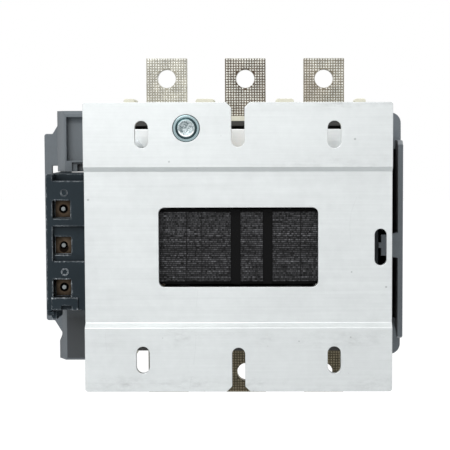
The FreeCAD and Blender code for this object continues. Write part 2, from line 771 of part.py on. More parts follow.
def magnet_frame():
    """Folded sheet that holds the coil down and carries the main housing."""
    half_w, half_h = FRAME_X, FRAME_Z
    shape = box(-half_w, half_w, FRAME_REAR, FRAME_LIP, -half_h, half_h)
    inner = box(-half_w + FRAME_T, half_w - FRAME_T, CORE_FACE, FRAME_LIP, -half_h, half_h)
    shape = rounded(shape, FRAME_BEND_R, "z", lambda c: c.y < FRAME_REAR + 0.1)
    inner = rounded(inner, FRAME_BEND_R - FRAME_T, "z", lambda c: c.y < CORE_FACE + 0.1)
    cuts = [inner, rounded_box(-OPENING_X, OPENING_X, FRAME_REAR, CORE_FACE, -OPENING_Z, OPENING_Z, 3.0)]
    cuts += [rod(M6_R + HOLE_GAP, x, z, FRAME_REAR, CORE_FACE) for x, z in corners(COLUMN_X, COLUMN_Z)]
    cuts += [rod(M5_R + HOLE_GAP, x, z, FRAME_REAR, CORE_FACE)
             for x, z in corners(HOUSING_SCREW_X, HOUSING_SCREW_Z)]
    return shape.cut(cuts)


def frame_screws():
    """Screws through the frame into the columns."""
    return [bolt(M6_R, M6_HEAD_R, M6_HEAD_T, x, z, CORE_FACE, FRAME_REAR - M6_LENGTH)
            for x, z in corners(COLUMN_X, COLUMN_Z)]


def housing_screws():
    """Screws from behind, through the frame into the main housing."""
    return [bolt(M5_R, M5_HEAD_R, M5_HEAD_T, x, z, FRAME_REAR, CORE_FACE + M5_LENGTH)
            for x, z in corners(HOUSING_SCREW_X, HOUSING_SCREW_Z)]


def return_springs():
    """Springs that push the carrier forward off the frame."""
    top = arm_rear()
    return [coil_spring(0, side * RETURN_SPRING_Z, CORE_FACE, top,
                        RETURN_SPRING_R, RETURN_WIRE_R, RETURN_TURNS) for side in (-1, 1)]


def arm_rear():
    """Where the carrier's arms rest on the return springs."""
    return ARMATURE_FRONT - SPRING_ARM_T


def armature_pin_y():
    """Depth of the pin that joins the armature to the carrier."""
    return ARMATURE_FRONT - ARMATURE_PIN_INSET


def armature():
    """Moving laminated E, facing the fixed core across the air gap."""
    low, deep, high = ARMATURE_FACE, ARMATURE_FACE + ARMATURE_LEG, ARMATURE_FRONT
    points = [(-CORE_X, low), (-LEG_X, low), (-LEG_X, deep), (-CENTRE_X, deep), (-CENTRE_X, low),
              (CENTRE_X, low), (CENTRE_X, deep), (LEG_X, deep), (LEG_X, low), (CORE_X, low),
              (CORE_X, high), (-CORE_X, high)]
    shape = prism_z(points, -HALF_STACK, HALF_STACK)
    shape = rounded(shape, 6.0, "z", lambda c: abs(c.x) > CORE_X - 0.1 and c.y > high - 0.1)
    tools = [pin_z(ARMATURE_PIN_R + THREAD_GAP, 0, armature_pin_y(), -CHEEK_Z, CHEEK_Z)]
    tools += [pin_z(RIVET_R + THREAD_GAP, x, y, -CHEEK_Z, CHEEK_Z) for x, y in armature_rivet_places()]
    return shape.cut(tools)


def armature_rivet_places():
    """Rivet axes in the armature, as (x, y)."""
    y = ARMATURE_FACE + ARMATURE_T / 2
    return [(side * (LEG_X + CORE_X) / 2, y) for side in (-1, 1)]


def armature_rivets():
    """Rivets through the armature's leaves."""
    return [rivet(x, y, HALF_STACK) for x, y in armature_rivet_places()]


def carrier_cheek_z():
    """Inner face of the carrier's cheeks beside the armature."""
    return HALF_STACK + CHEEK_ARM_GAP


def armature_pin():
    """Pin through the carrier's cheeks and the armature."""
    end = carrier_cheek_z() + CHEEK_ARM_T
    return pin_z(ARMATURE_PIN_R, 0, armature_pin_y(), -end, end)


def armature_pad():
    """Rubber cushion between the armature and the carrier."""
    half = STEM_W / 2 - 2
    return box(-half, half, ARMATURE_FRONT, ARMATURE_FRONT + ARMATURE_PAD_T, -HALF_STACK + 2, HALF_STACK - 2)


def contact_carrier():
    """Moulded carrier: cheeks at the armature, crossbar and three window posts."""
    stem_rear = ARMATURE_FRONT + ARMATURE_PAD_T
    cheek_z = carrier_cheek_z()
    outer_z = cheek_z + CHEEK_ARM_T
    half_bar = POLE_PITCH + POST_W / 2
    body = box(-half_bar, half_bar, CROSSBAR_REAR, CROSSBAR_FRONT, -CROSSBAR_H / 2, CROSSBAR_H / 2)
    parts = [box(-STEM_W / 2, STEM_W / 2, stem_rear, CROSSBAR_REAR + 2, -outer_z, outer_z)]
    tools = []
    pin_y = armature_pin_y()
    arm_y = arm_rear()
    for side in (-1, 1):
        z0, z1 = sorted((side * cheek_z, side * outer_z))
        parts.append(box(-CHEEK_ARM_W / 2, CHEEK_ARM_W / 2, pin_y - 7, stem_rear + 1, z0, z1))
        a0, a1 = sorted((side * (outer_z - 1), side * (RETURN_SPRING_Z + RETURN_SPRING_R + 2)))
        parts.append(box(-SPRING_ARM_W / 2, SPRING_ARM_W / 2, arm_y, ARMATURE_FRONT, a0, a1))
        parts.append(rod(RETURN_SPRING_R - RETURN_WIRE_R - 0.4, 0, side * RETURN_SPRING_Z, arm_y - 4, arm_y))
    half_x, half_z, window_x = POST_W / 2, POST_H / 2, BRIDGE_W / 2 + POST_GAP
    for x in POLE_XS:
        parts.append(box(x - half_x, x + half_x, CROSSBAR_FRONT - 1, POST_FRONT, -half_z, half_z))
        tools.append(box(x - window_x, x + window_x, SEAT_Y - BRIDGE_GAP, POST_WINDOW_TOP, -half_z - 1, half_z + 1))
    tools.append(pin_z(ARMATURE_PIN_R + THREAD_GAP, 0, pin_y, -outer_z - 1, outer_z + 1))
    return body.fuse(parts).cut(tools).removeSplitter()


def contact_spring(x):
    """Spring that presses one bridge back against its seat."""
    return coil_spring(x, 0, BRIDGE_FRONT, POST_WINDOW_TOP, CONTACT_SPRING_R, CONTACT_WIRE_R, CONTACT_TURNS)


def bridge(x):
    """Cranked copper bridge of one pole, with a seat for its spring."""
    half, flat, crank = BRIDGE_L / 2, TIP_Z - TIP_L / 2 - 1, TIP_Z - TIP_L / 2 - 6
    upper = [(-half, BRIDGE_REAR + BRIDGE_T), (-flat, BRIDGE_REAR + BRIDGE_T), (-crank, BRIDGE_FRONT),
             (crank, BRIDGE_FRONT), (flat, BRIDGE_REAR + BRIDGE_T), (half, BRIDGE_REAR + BRIDGE_T)]
    lower = [(z, y - BRIDGE_T) for z, y in reversed(upper)]
    shape = prism_x([(y, z) for z, y in upper + lower], x - BRIDGE_W / 2, x + BRIDGE_W / 2)
    return shape.fuse(rod(SPRING_SEAT_R, x, 0, BRIDGE_FRONT, BRIDGE_FRONT + SPRING_SEAT_H)).removeSplitter()


def tip(x, z, y0):
    """Silver contact tip with bevelled corners."""
    body = box(x - TIP_W / 2, x + TIP_W / 2, y0, y0 + TIP_T, z - TIP_L / 2, z + TIP_L / 2)
    return body.makeChamfer(TIP_CHAMFER, edges_along(body, "y"))


def bridge_tips(x):
    """The two tips under one bridge."""
    return [tip(x, side * TIP_Z, BRIDGE_TIP_REAR) for side in (-1, 1)]


def fixed_tips():
    """Tips on the inner ends of the six terminal bars."""
    return [tip(x, side * TIP_Z, BAR_FRONT) for x in POLE_XS for side in (-1, 1)]


def position_indicator():
    """Plug on the middle post that shows in the cover's window."""
    return rounded_box(-INDICATOR_W / 2, INDICATOR_W / 2, POST_FRONT, COVER_FRONT_Y - INDICATOR_INSET,
                       -INDICATOR_H / 2, INDICATOR_H / 2, INDICATOR_R)


def main_housing():
    """Dark moulded case round the armature, with a deck behind the crossbar."""
    outer = box(-BODY_X, BODY_X, HOUSING_REAR_Y, HOUSING_FRONT_Y, -HOUSING_Z, HOUSING_Z)
    outer = rounded(outer, 2.0, "y")
    inner_x, inner_z = BODY_INNER_X, HOUSING_Z - WALL
    ledge_z = FRAME_Z - LEDGE_W
    rear = box(-inner_x, inner_x, HOUSING_REAR_Y, FRAME_LIP + COVER_GAP, -inner_z, inner_z)
    middle = box(-inner_x, inner_x, HOUSING_REAR_Y, DECK_REAR, -ledge_z, ledge_z)
    front = box(-inner_x, inner_x, DECK_FRONT, HOUSING_FRONT_Y, -ledge_z, ledge_z)
    stem_z = carrier_cheek_z() + CHEEK_ARM_T + STEM_GAP
    stem_x = STEM_W / 2 + STEM_GAP
    stem = box(-stem_x, stem_x, DECK_REAR, DECK_FRONT, -stem_z, stem_z)
    shape = outer.cut([rear, middle, front, stem])
    bosses = [rod(BOSS_R, x, z, CORE_FACE, DECK_REAR + 1)
              for x, z in corners(HOUSING_SCREW_X, HOUSING_SCREW_Z)]
    bosses += [rod(BOSS_R, x, z, DECK_FRONT - 1, HOUSING_FRONT_Y)
               for x, z in corners(POLE_PITCH / 2, BASE_SCREW_Z)]
    shape = shape.fuse(bosses)
    bores = [rod(M5_R + THREAD_GAP, x, z, CORE_FACE - 1, CORE_FACE + M5_LENGTH + 2)
             for x, z in corners(HOUSING_SCREW_X, HOUSING_SCREW_Z)]
    bores += [rod(M5_R + THREAD_GAP, x, z, base_screw_tip() - 1, HOUSING_FRONT_Y + 1)
              for x, z in corners(POLE_PITCH / 2, BASE_SCREW_Z)]
    bores += side_screw_bores()
    return shape.cut(bores).removeSplitter()


def base_screw_tip():
    """Depth that the pole base's screws reach in the housing."""
    return HOUSING_FRONT_Y - M5_LENGTH


def side_screw_bores():
    """Threads for the screws that hold the side housings."""
    bores = []
    for side in (-1, 1):
        x0, x1 = sorted((side * (BODY_INNER_X - 1), side * (BODY_X + 1)))
        bores += [rod_x(SIDE_SCREW_R + THREAD_GAP, SIDE_SCREW_Y, z, x0, x1)
                  for z in (-SIDE_SCREW_Z, SIDE_SCREW_Z)]
    return bores


def barrier_spans():
    """Where the barriers lie along X: between the poles and at both ends."""
    half = BARRIER_W / 2
    spans = [(x - half, x + half) for x in (-POLE_PITCH / 2, POLE_PITCH / 2)]
    outer = BODY_X - EDGE_BARRIER_INSET
    return spans + [(-outer, -outer + EDGE_BARRIER_W), (outer - EDGE_BARRIER_W, outer)]


def pole_base():
    """Pale moulded base under the terminal bars, with barriers between the poles."""
    half_z = BASE_H / 2
    base = box(-BODY_X, BODY_X, HOUSING_FRONT_Y, BASE_FRONT, -half_z, half_z)
    walls = []
    for side in (-1, 1):
        z0, z1 = sorted((side * BARRIER_FOOT_Z, side * BARRIER_TOP_Z))
        for x0, x1 in barrier_spans():
            wall = box(x0, x1, HOUSING_FRONT_Y, BAR_FRONT, z0, z1)
            walls.append(rounded(wall, BARRIER_R, "y", lambda c: abs(c.z) > BARRIER_TOP_Z - 0.1))
    half_x, half_h = POST_W / 2 + POST_GAP, POST_H / 2 + POST_GAP
    tools = [box(x - half_x, x + half_x, HOUSING_FRONT_Y, BASE_FRONT, -half_h, half_h) for x in POLE_XS]
    tools += [rod(M5_R + THREAD_GAP, x, side * BAR_SCREW_Z, BAR_FRONT - M5_LENGTH - 1, BASE_FRONT)
              for x in POLE_XS for side in (-1, 1)]
    for x, z in corners(POLE_PITCH / 2, BASE_SCREW_Z):
        tools.append(rod(M5_R + HOLE_GAP, x, z, HOUSING_FRONT_Y, BASE_FRONT))
        tools.append(rod(M5_HEAD_R + HOLE_GAP, x, z, BASE_FRONT - BASE_SCREW_SINK, BASE_FRONT))
    for x, z in corners(POLE_PITCH / 2, COVER_SCREW_Z):
        tools.append(rod(M5_R + THREAD_GAP, x, z, cover_screw_tip() - 1, BAR_FRONT))
    return base.fuse(walls).removeSplitter().cut(tools)


def base_screws():
    """Screws that hold the pole base to the main housing."""
    return [bolt(M5_R, M5_HEAD_R, M5_HEAD_T, x, z, BASE_FRONT - BASE_SCREW_SINK, base_screw_tip())
            for x, z in corners(POLE_PITCH / 2, BASE_SCREW_Z)]


def terminal_bar(x, side):
    """Flat tinned bar with a round bolt hole near its outer end."""
    z0, z1 = sorted((side * BAR_INNER_Z, side * BAR_END_Z))
    bar = box(x - BAR_W / 2, x + BAR_W / 2, BASE_FRONT, BAR_FRONT, z0, z1)
    bar = rounded(bar, 0.6, "y", lambda c: abs(c.z) > BAR_END_Z - 0.1)
    return bar.cut([rod(BAR_HOLE_R, x, side * BAR_HOLE_Z, BASE_FRONT, BAR_FRONT),
                    rod(M5_R + HOLE_GAP, x, side * BAR_SCREW_Z, BASE_FRONT, BAR_FRONT)])


def bar_screws():
    """Screws that hold the bars on the pole base."""
    return [bolt(M5_R, M5_HEAD_R, M5_HEAD_T, x, side * BAR_SCREW_Z, BAR_FRONT, BAR_FRONT - M5_LENGTH)
            for x in POLE_XS for side in (-1, 1)]


def cover_screw_tip():
    """Depth that the cover's screws reach in the pole base."""
    return BASE_FRONT - COVER_SCREW_BITE


def cover_screw_seat():
    """Depth of the seats of the cover's screw heads."""
    return COVER_STEP_Y - SCREW_SINK


def vents(x):
    """Tools for the slots in both end walls of one arc chamber."""
    half_z = COVER_H / 2
    y1 = CHAMBER_FRONT - VENT_INSET
    tools = []
    for side in (-1, 1):
        z0, z1 = sorted((side * (half_z - WALL - 1), side * (half_z + 1)))
        for step in range(VENT_COUNT):
            left = x + (step - (VENT_COUNT - 1) / 2) * VENT_PITCH - VENT_W / 2
            tools.append(box(left, left + VENT_W, y1 - VENT_L, y1, z0, z1))
    return tools


def arc_cover():
    """Front cover with three arc chambers, end vents, steps and an indicator window."""
    half_z = COVER_H / 2
    inner_z = half_z - WALL
    outer = box(-BODY_X, BODY_X, COVER_REAR, COVER_FRONT_Y, -half_z, half_z)
    outer = rounded(outer, COVER_CORNER_R, "x", lambda c: c.y > COVER_FRONT_Y - 0.1)
    hollows = []
    for side in (-1, 1):
        z0, z1 = sorted((side * (half_z - STEP_H), side * (half_z + 1)))
        hollows.append(box(-BODY_X - 1, BODY_X + 1, COVER_STEP_Y, COVER_FRONT_Y + 1, z0, z1))
    for x in POLE_XS:
        hollows.append(box(x - CHAMBER_X, x + CHAMBER_X, COVER_REAR - 1, CHAMBER_FRONT, -inner_z, inner_z))
        hollows += vents(x)
    places = corners(POLE_PITCH / 2, COVER_SCREW_Z)
    towers = [rod(TOWER_R, x, z, COVER_REAR, COVER_STEP_Y - 1) for x, z in places]
    bores = [rod(M5_R + HOLE_GAP, x, z, COVER_REAR, COVER_FRONT_Y) for x, z in places]
    bores += [rod(M5_HEAD_R + HOLE_GAP, x, z, cover_screw_seat(), COVER_FRONT_Y) for x, z in places]
    half_x, half_h = INDICATOR_W / 2 + INDICATOR_GAP, INDICATOR_H / 2 + INDICATOR_GAP
    window = rounded_box(-half_x, half_x, CHAMBER_FRONT - 1, COVER_FRONT_Y + 1, -half_h, half_h, INDICATOR_R)
    return outer.cut(hollows).fuse(towers).cut(bores + [window]).removeSplitter()


def cover_screws():
    """Long screws through the cover into the pole base."""
    return [pan_screw(M5_R, M5_HEAD_R, M5_HEAD_T, x, z, cover_screw_seat(), cover_screw_tip())
            for x, z in corners(POLE_PITCH / 2, COVER_SCREW_Z)]


def splitter_outline(x, side):
    """One plate as (x, z) points: notched towards the tips, narrow beside the screws."""
    outer_z = side * (COVER_H / 2 - WALL - SPLITTER_GAP)
    inner_z = side * SPLITTER_INNER_Z
    foot = side * (COVER_SCREW_Z - TOWER_R - SPLITTER_GAP)
    half, notch = CHAMBER_X - SPLITTER_GAP, SPLITTER_NOTCH_W / 2
    narrow = POLE_PITCH / 2 - TOWER_R - SPLITTER_GAP
    return [(x - narrow, outer_z), (x + narrow, outer_z), (x + narrow, foot), (x + half, foot),
            (x + half, inner_z), (x + notch, inner_z), (x, inner_z + side * SPLITTER_NOTCH_L),
            (x - notch, inner_z), (x - half, inner_z), (x - half, foot), (x - narrow, foot)]


def splitter_plates():
    """Notched steel plates that cool the arcs, stacked at both ends of each pole."""
    first = BAR_FRONT + SPLITTER_LIFT
    count = 1 + int((CHAMBER_FRONT - SPLITTER_ROOM - first - SPLITTER_T) / SPLITTER_PITCH)
    plates = []
    for x in POLE_XS:
        for side in (-1, 1):
            for step in range(count):
                y = first + step * SPLITTER_PITCH
                plates.append(prism_y(splitter_outline(x, side), y, y + SPLITTER_T))
    return plates


def recess_span():
    """Lower and upper end of the recess round the terminal block."""
    return BLOCK_BOTTOM_Z - SIDE_GAP, BLOCK_TOP_Z + SIDE_GAP


def left_side_housing():
    """Grey side case at the left, with a moulded pocket and a recess for the coil terminals."""
    half = LEFT_H / 2
    low, high = recess_span()
    rear, front = LEFT_REAR_Y - 1, LEFT_FRONT_Y
    floor = LEFT_REAR_Y + POCKET_DEPTH
    chamfer_x = LEFT_X + LEFT_CHAMFER_X
    right = LEFT_INNER_X + 1
    outline = [(LEFT_INNER_X, LEFT_REAR_Y), (chamfer_x, LEFT_REAR_Y), (LEFT_X, LEFT_REAR_Y + LEFT_CHAMFER_Y),
               (LEFT_X, front), (LEFT_INNER_X, front)]
    shape = rounded(prism_z(outline, -half, half), LEFT_EDGE_R, "x", lambda c: c.y < LEFT_REAR_Y + 0.1)
    hollow = box(LEFT_X + RECESS_DEPTH_X + WALL, LEFT_INNER_X, floor + WALL, front - WALL,
                 -half + WALL, half - WALL)
    pocket = box(chamfer_x + POCKET_RIM_W, right, rear, floor, POCKET_BOTTOM_Z, POCKET_TOP_Z)
    pocket = rounded(pocket, POCKET_FILLET, "x", lambda c: c.y > LEFT_REAR_Y and c.z > POCKET_TOP_Z - 0.1)
    lower_pocket = box(FACE_STEP_X, right, rear, floor, low, POCKET_BOTTOM_Z - POCKET_SILL)
    step = box(FACE_X, right, rear, LEFT_REAR_Y + FACE_SINK, low, POCKET_BOTTOM_Z - POCKET_SILL / 2)
    recess = box(LEFT_X - 1, LEFT_X + RECESS_DEPTH_X, rear, front + 1, low, high)
    inside, top = LEFT_X + SCALLOP_DEPTH, SCALLOP_Z - SCALLOP_DEPTH * 2
    outside = LEFT_X - 1
    scallop = prism_y([(outside, low), (inside, low), (inside, SCALLOP_Z), (LEFT_X, top), (outside, top)],
                      rear, WING_REAR_Y)
    holes = side_screw_holes(LEFT_X, LEFT_INNER_X, LEFT_X, side_screw_seat(-1))
    return shape.cut([hollow, pocket, lower_pocket, step, recess, scallop] + holes).removeSplitter()


def side_screw_seat(side):
    """Where the side screws' heads rest, deep in each side housing."""
    return LEFT_INNER_X - WALL if side < 0 else RIGHT_INNER_X + WALL


def side_screw_holes(x0, x1, head_x0, head_x1):
    """Tools for the shanks from x0 to x1 and the heads from head_x0 to head_x1."""
    places = (-SIDE_SCREW_Z, SIDE_SCREW_Z)
    holes = [rod_x(SIDE_SCREW_R + HOLE_GAP, SIDE_SCREW_Y, z, x0, x1) for z in places]
    return holes + [rod_x(SIDE_SCREW_R * 2 + HOLE_GAP, SIDE_SCREW_Y, z, head_x0, head_x1) for z in places]


def guard_wall():
    """Thin wall that reaches back from the right case, its ends trimmed."""
    half = GUARD_H / 2
    inner_x = RIGHT_X - GUARD_T
    foot = RIGHT_REAR_Y + GUARD_FOOT
    section = [(GUARD_REAR_X - GUARD_T, GUARD_REAR_Y), (GUARD_REAR_X, GUARD_REAR_Y), (RIGHT_X, RIGHT_REAR_Y),
               (RIGHT_X, foot), (inner_x, foot), (inner_x, RIGHT_REAR_Y)]
    rear, end = GUARD_REAR_Y - 1, GUARD_REAR_Y + GUARD_TRIM_Y
    trims = []
    for side in (-1, 1):
        low, high, over = side * (half - GUARD_TRIM_Z), side * half, side * (half + 1)
        corner = [(rear, over), (rear, low), (GUARD_REAR_Y + GUARD_TRIM_Z, low), (end, high), (end, over)]
        trims.append(prism_x(corner, GUARD_REAR_X - GUARD_T * 2, RIGHT_X + 1))
    return prism_z(section, -half, half).cut(trims)


def guard_lug():
    """Lug that reaches from the guard wall behind the plate, with a small nub."""
    root_x, tip_x, nub_x = GUARD_REAR_X - GUARD_T + 1, LUG_X, LUG_X - LUG_NUB
    root, tip, nub = LUG_ROOT_H / 2, LUG_TIP_H / 2, LUG_NUB
    upper = [(root_x, root), (tip_x + LUG_TAPER, tip), (tip_x, tip), (tip_x, nub), (nub_x, nub)]
    points = [(x, LUG_Z + z) for x, z in upper] + [(x, LUG_Z - z) for x, z in reversed(upper)]
    return prism_y(points, GUARD_REAR_Y, GUARD_REAR_Y + LUG_T)


def right_side_housing():
    """Grey hollow case at the right, open behind, with a guard wall and a lug."""
    half, mouth = RIGHT_H / 2, GUARD_RECESS_H / 2
    shape = box(RIGHT_INNER_X, RIGHT_X, RIGHT_REAR_Y, RIGHT_FRONT_Y, -half, half)
    shape = rounded(shape, RIGHT_EDGE_R, "y", lambda c: c.x > RIGHT_X - 0.1)
    x0, x1 = RIGHT_INNER_X + WALL, RIGHT_X - GUARD_T
    inside = RIGHT_REAR_Y + WALL
    hollow = box(x0, x1, inside, RIGHT_FRONT_Y - WALL, -half + WALL, half - WALL)
    hollow = rounded(hollow, RIGHT_EDGE_R - WALL, "y", lambda c: c.x > x1 - 0.1)
    opening = box(x0, x1, RIGHT_REAR_Y, inside + 1, -mouth, mouth)
    shape = shape.cut([hollow, opening]).fuse([guard_wall(), guard_lug()]).removeSplitter()
    return shape.cut(side_screw_holes(RIGHT_INNER_X, RIGHT_X, side_screw_seat(1), RIGHT_X))


def side_screws():
    """Screws across X that hold both side housings to the main housing."""
    screws = []
    for side in (-1, 1):
        seat = side_screw_seat(side)
        head0, head1 = sorted((seat, seat + side * SIDE_SCREW_HEAD_T))
        tip0, tip1 = sorted((seat, side * BODY_INNER_X))
        for z in (-SIDE_SCREW_Z, SIDE_SCREW_Z):
            head = rod_x(SIDE_SCREW_R * 2, SIDE_SCREW_Y, z, head0, head1)
            screws.append(head.fuse(rod_x(SIDE_SCREW_R, SIDE_SCREW_Y, z, tip0, tip1)).removeSplitter())
    return screws


def block_body():
    """Walls, face, roof and floor of the coil terminal block, still without its cells."""
    wall_x = BLOCK_LEFT_X + BLOCK_WALL_T
    inside = wall_x - 1
    right = BLOCK_RIGHT_X
    seat = LEFT_REAR_Y + POCKET_DEPTH
    low = BLOCK_FACE_LOW_Z
    side_wall = box(BLOCK_LEFT_X, wall_x, BLOCK_REAR_Y, BLOCK_FRONT_Y, BLOCK_BOTTOM_Z, BLOCK_TOP_Z)
    side_wall = rounded(side_wall, BLOCK_EDGE_R, "x", lambda c: c.y < BLOCK_REAR_Y + 0.1)
    parts = [box(inside, right, BLOCK_REAR_Y, CELL_FLOOR_Y, low, BLOCK_FACE_TOP_Z),
             box(inside, right, BLOCK_ROOF_Y, seat, BLOCK_TOP_Z - BLOCK_ROOF_T, BLOCK_TOP_Z),
             box(right - BLOCK_WALL_T, right, BLOCK_REAR_Y, seat, low, BLOCK_TOP_Z),
             box(inside, right, BLOCK_REAR_Y, seat, low, low + BLOCK_FLOOR_T),
             box(inside, BRACE_RIGHT_X, BLOCK_REAR_Y - BRACE_PROUD, CELL_FLOOR_Y, BRACE_LOW_Z, BRACE_TOP_Z),
             box(FOOT_X - FOOT_W / 2, FOOT_X + FOOT_W / 2, BLOCK_REAR_Y + BLOCK_EDGE_R, BLOCK_REAR_Y + FOOT_L,
                 BLOCK_BOTTOM_Z - FOOT_H, low)]
    for upper, lower in zip(CELL_ZS, CELL_ZS[1:]):
        z = (upper + lower) / 2
        parts.append(box(inside, right, BLOCK_REAR_Y, seat - DIVIDER_SETBACK,
                         z - DIVIDER_T / 2, z + DIVIDER_T / 2))
    return side_wall.fuse(parts).removeSplitter()


def block_tools():
    """What is cut from the block: cells, seats of the clamps, links and the brace's notch."""
    wall_x = BLOCK_LEFT_X + BLOCK_WALL_T
    plate_rear = CELL_FLOOR_Y - CLAMP_T
    half = CLAMP_SIZE / 2 + CLAMP_GAP
    tools = []
    for z in CELL_ZS:
        tools.append(box(wall_x, SCREW_X + CELL_W / 2, BLOCK_REAR_Y - 1, plate_rear,
                         z - CELL_H / 2, z + CELL_H / 2))
        tools.append(box(SCREW_X - half, SCREW_X + half, plate_rear - CLAMP_GAP, CELL_FLOOR_Y + 1,
                         z - half, z + half))
    middle = CELL_ZS[1]
    tools.append(box(wall_x, BLOCK_RIGHT_X - BLOCK_WALL_T, BLOCK_REAR_Y - 1, BLOCK_REAR_Y + CELL_SINK,
                     middle - CELL_SINK_DOWN, middle + CELL_SINK_UP))
    tools.append(box(BRACE_NOTCH_X - BRACE_NOTCH_W / 2, BRACE_NOTCH_X + BRACE_NOTCH_W / 2,
                     BLOCK_REAR_Y - BRACE_PROUD - 1, BLOCK_REAR_Y + CELL_SINK, BLOCK_FACE_LOW_Z - 1,
                     BRACE_LOW_Z + BRACE_NOTCH_H))
    for side in (-1, 1):
        z = side * LINK_Z
        tools.append(box(wall_x, BLOCK_RIGHT_X + 1, CELL_FLOOR_Y, CELL_FLOOR_Y + LINK_T + CLAMP_GAP,
                         z - LINK_W, z + LINK_W))
    return tools


def terminal_block():
    """Open moulded block that holds the three coil clamps at the left of the plate."""
    marks = [ring_y(RING_MARK_R, RING_MARK_R - RING_MARK_W, RING_MARK_X, z,
                    BLOCK_REAR_Y - RING_MARK_H, BLOCK_REAR_Y + 0.5) for z in RING_MARK_ZS]
    return block_body().cut(block_tools()).fuse(marks).removeSplitter()


def clamp_plates():
    """Square clamp plates of the coil terminals."""
    half = CLAMP_SIZE / 2
    low, high = CELL_FLOOR_Y - CLAMP_T, CELL_FLOOR_Y
    return [box(SCREW_X - half, SCREW_X + half, low, high, z - half, z + half).cut(
        rod(CLAMP_HOLE_R, SCREW_X, z, low, high)) for z in CELL_ZS]


def clamp_screws():
    """Terminal screws, put in from the front, whose points show from behind."""
    seat = CELL_FLOOR_Y + LINK_T
    front = seat + CLAMP_HEAD_T
    tip = CELL_FLOOR_Y - CLAMP_T - CLAMP_POINT_PROUD
    screws = []
    for z in CELL_ZS:
        point = Part.makeCone(CLAMP_TIP_R, CLAMP_SCREW_R, CLAMP_POINT_L, FreeCAD.Vector(SCREW_X, tip, z),
                              FreeCAD.Vector(0, 1, 0))
        shank = rod(CLAMP_SCREW_R, SCREW_X, z, tip + CLAMP_POINT_L, seat)
        head = rod(CLAMP_HEAD_R, SCREW_X, z, seat, front)
        slot = box(SCREW_X - CLAMP_HEAD_R, SCREW_X + CLAMP_HEAD_R, front - CLAMP_SLOT_DEPTH, front,
                   z - CLAMP_SLOT_W / 2, z + CLAMP_SLOT_W / 2)
        screws.append(point.fuse([shank, head]).cut(slot).removeSplitter())
    return screws


def coil_links():
    """Strips in front of the clamps; the outer two run to the coil."""
    y0, y1 = CELL_FLOOR_Y, CELL_FLOOR_Y + LINK_T
    left, right = SCREW_X - CLAMP_SIZE / 2, SCREW_X + CLAMP_SIZE / 2 + LINK_TAG
    coil_x = -(FLANGE_X - WINDING_INSET + SIDE_GAP)
    links = []
    for z, side in zip(CELL_ZS, (1, 0, -1)):
        tag = box(left, right, y0, y1, z - CLAMP_SIZE / 2, z + CLAMP_SIZE / 2)
        if side:
            run_z = side * LINK_Z
            low, high = sorted((z, run_z + side * LINK_W / 2))
            riser = box(right - LINK_W, right, y0, y1, low, high)
            run = box(right - LINK_W, coil_x, y0, y1, run_z - LINK_W / 2, run_z + LINK_W / 2)
            tag = tag.fuse([riser, run])
        hole = rod(CLAMP_SCREW_R + THREAD_GAP, SCREW_X, z, y0, y1)
        links.append(tag.cut(hole).removeSplitter())
    return links


def wing_outline(inset, right_x):
    """Outline of the left front housing, as (x, z) points."""
    half, body = WING_H / 2 - inset, WING_BODY_H / 2 - inset
    left = WING_X + inset
    slope, body_x = WING_SLOPE_X + inset * 0.5, WING_BODY_X + inset * 0.5
    return [(left, half), (slope, half), (body_x, body), (right_x, body),
            (right_x, -body), (body_x, -body), (slope, -half), (left, -half)]


def left_front_housing():
    """Case in front of the left side housing, with a well to the coil terminals."""
    right, lap = LEFT_INNER_X, LEFT_X - SIDE_GAP
    rear, front = WING_REAR_Y, WING_FRONT_Y
    body, well = WING_BODY_H / 2, WELL_H / 2
    shape = prism_y(wing_outline(0, right), rear, front)
    shape = rounded(shape, WING_EDGE_R, "y", lambda c: c.x < WING_X + 0.1)
    room = box(lap, right + 1, rear - 1, LEFT_FRONT_Y + SIDE_GAP / 2, -WING_BODY_H, WING_BODY_H)
    overhang = prism_y(wing_outline(WING_WALL, lap - WING_WALL), rear + WING_WALL, front - WING_WALL)
    inside = box(LEFT_X, right, LEFT_FRONT_Y + WALL, front - WALL, -body + WALL, body - WALL)
    inside = inside.cut(box(LEFT_X - 1, WELL_RIGHT_X + WALL, LEFT_FRONT_Y, front, -well - WALL, well + WALL))
    shaft = box(WING_X + WING_LIP_W, WELL_RIGHT_X, rear - 1, front + 1, -well, well)
    side_mouth = box(WING_X - 1, WELL_RIGHT_X, rear + WING_LIP_L, front + 1, -well, well)
    return shape.cut([room, overhang, inside, shaft, side_mouth]).removeSplitter()


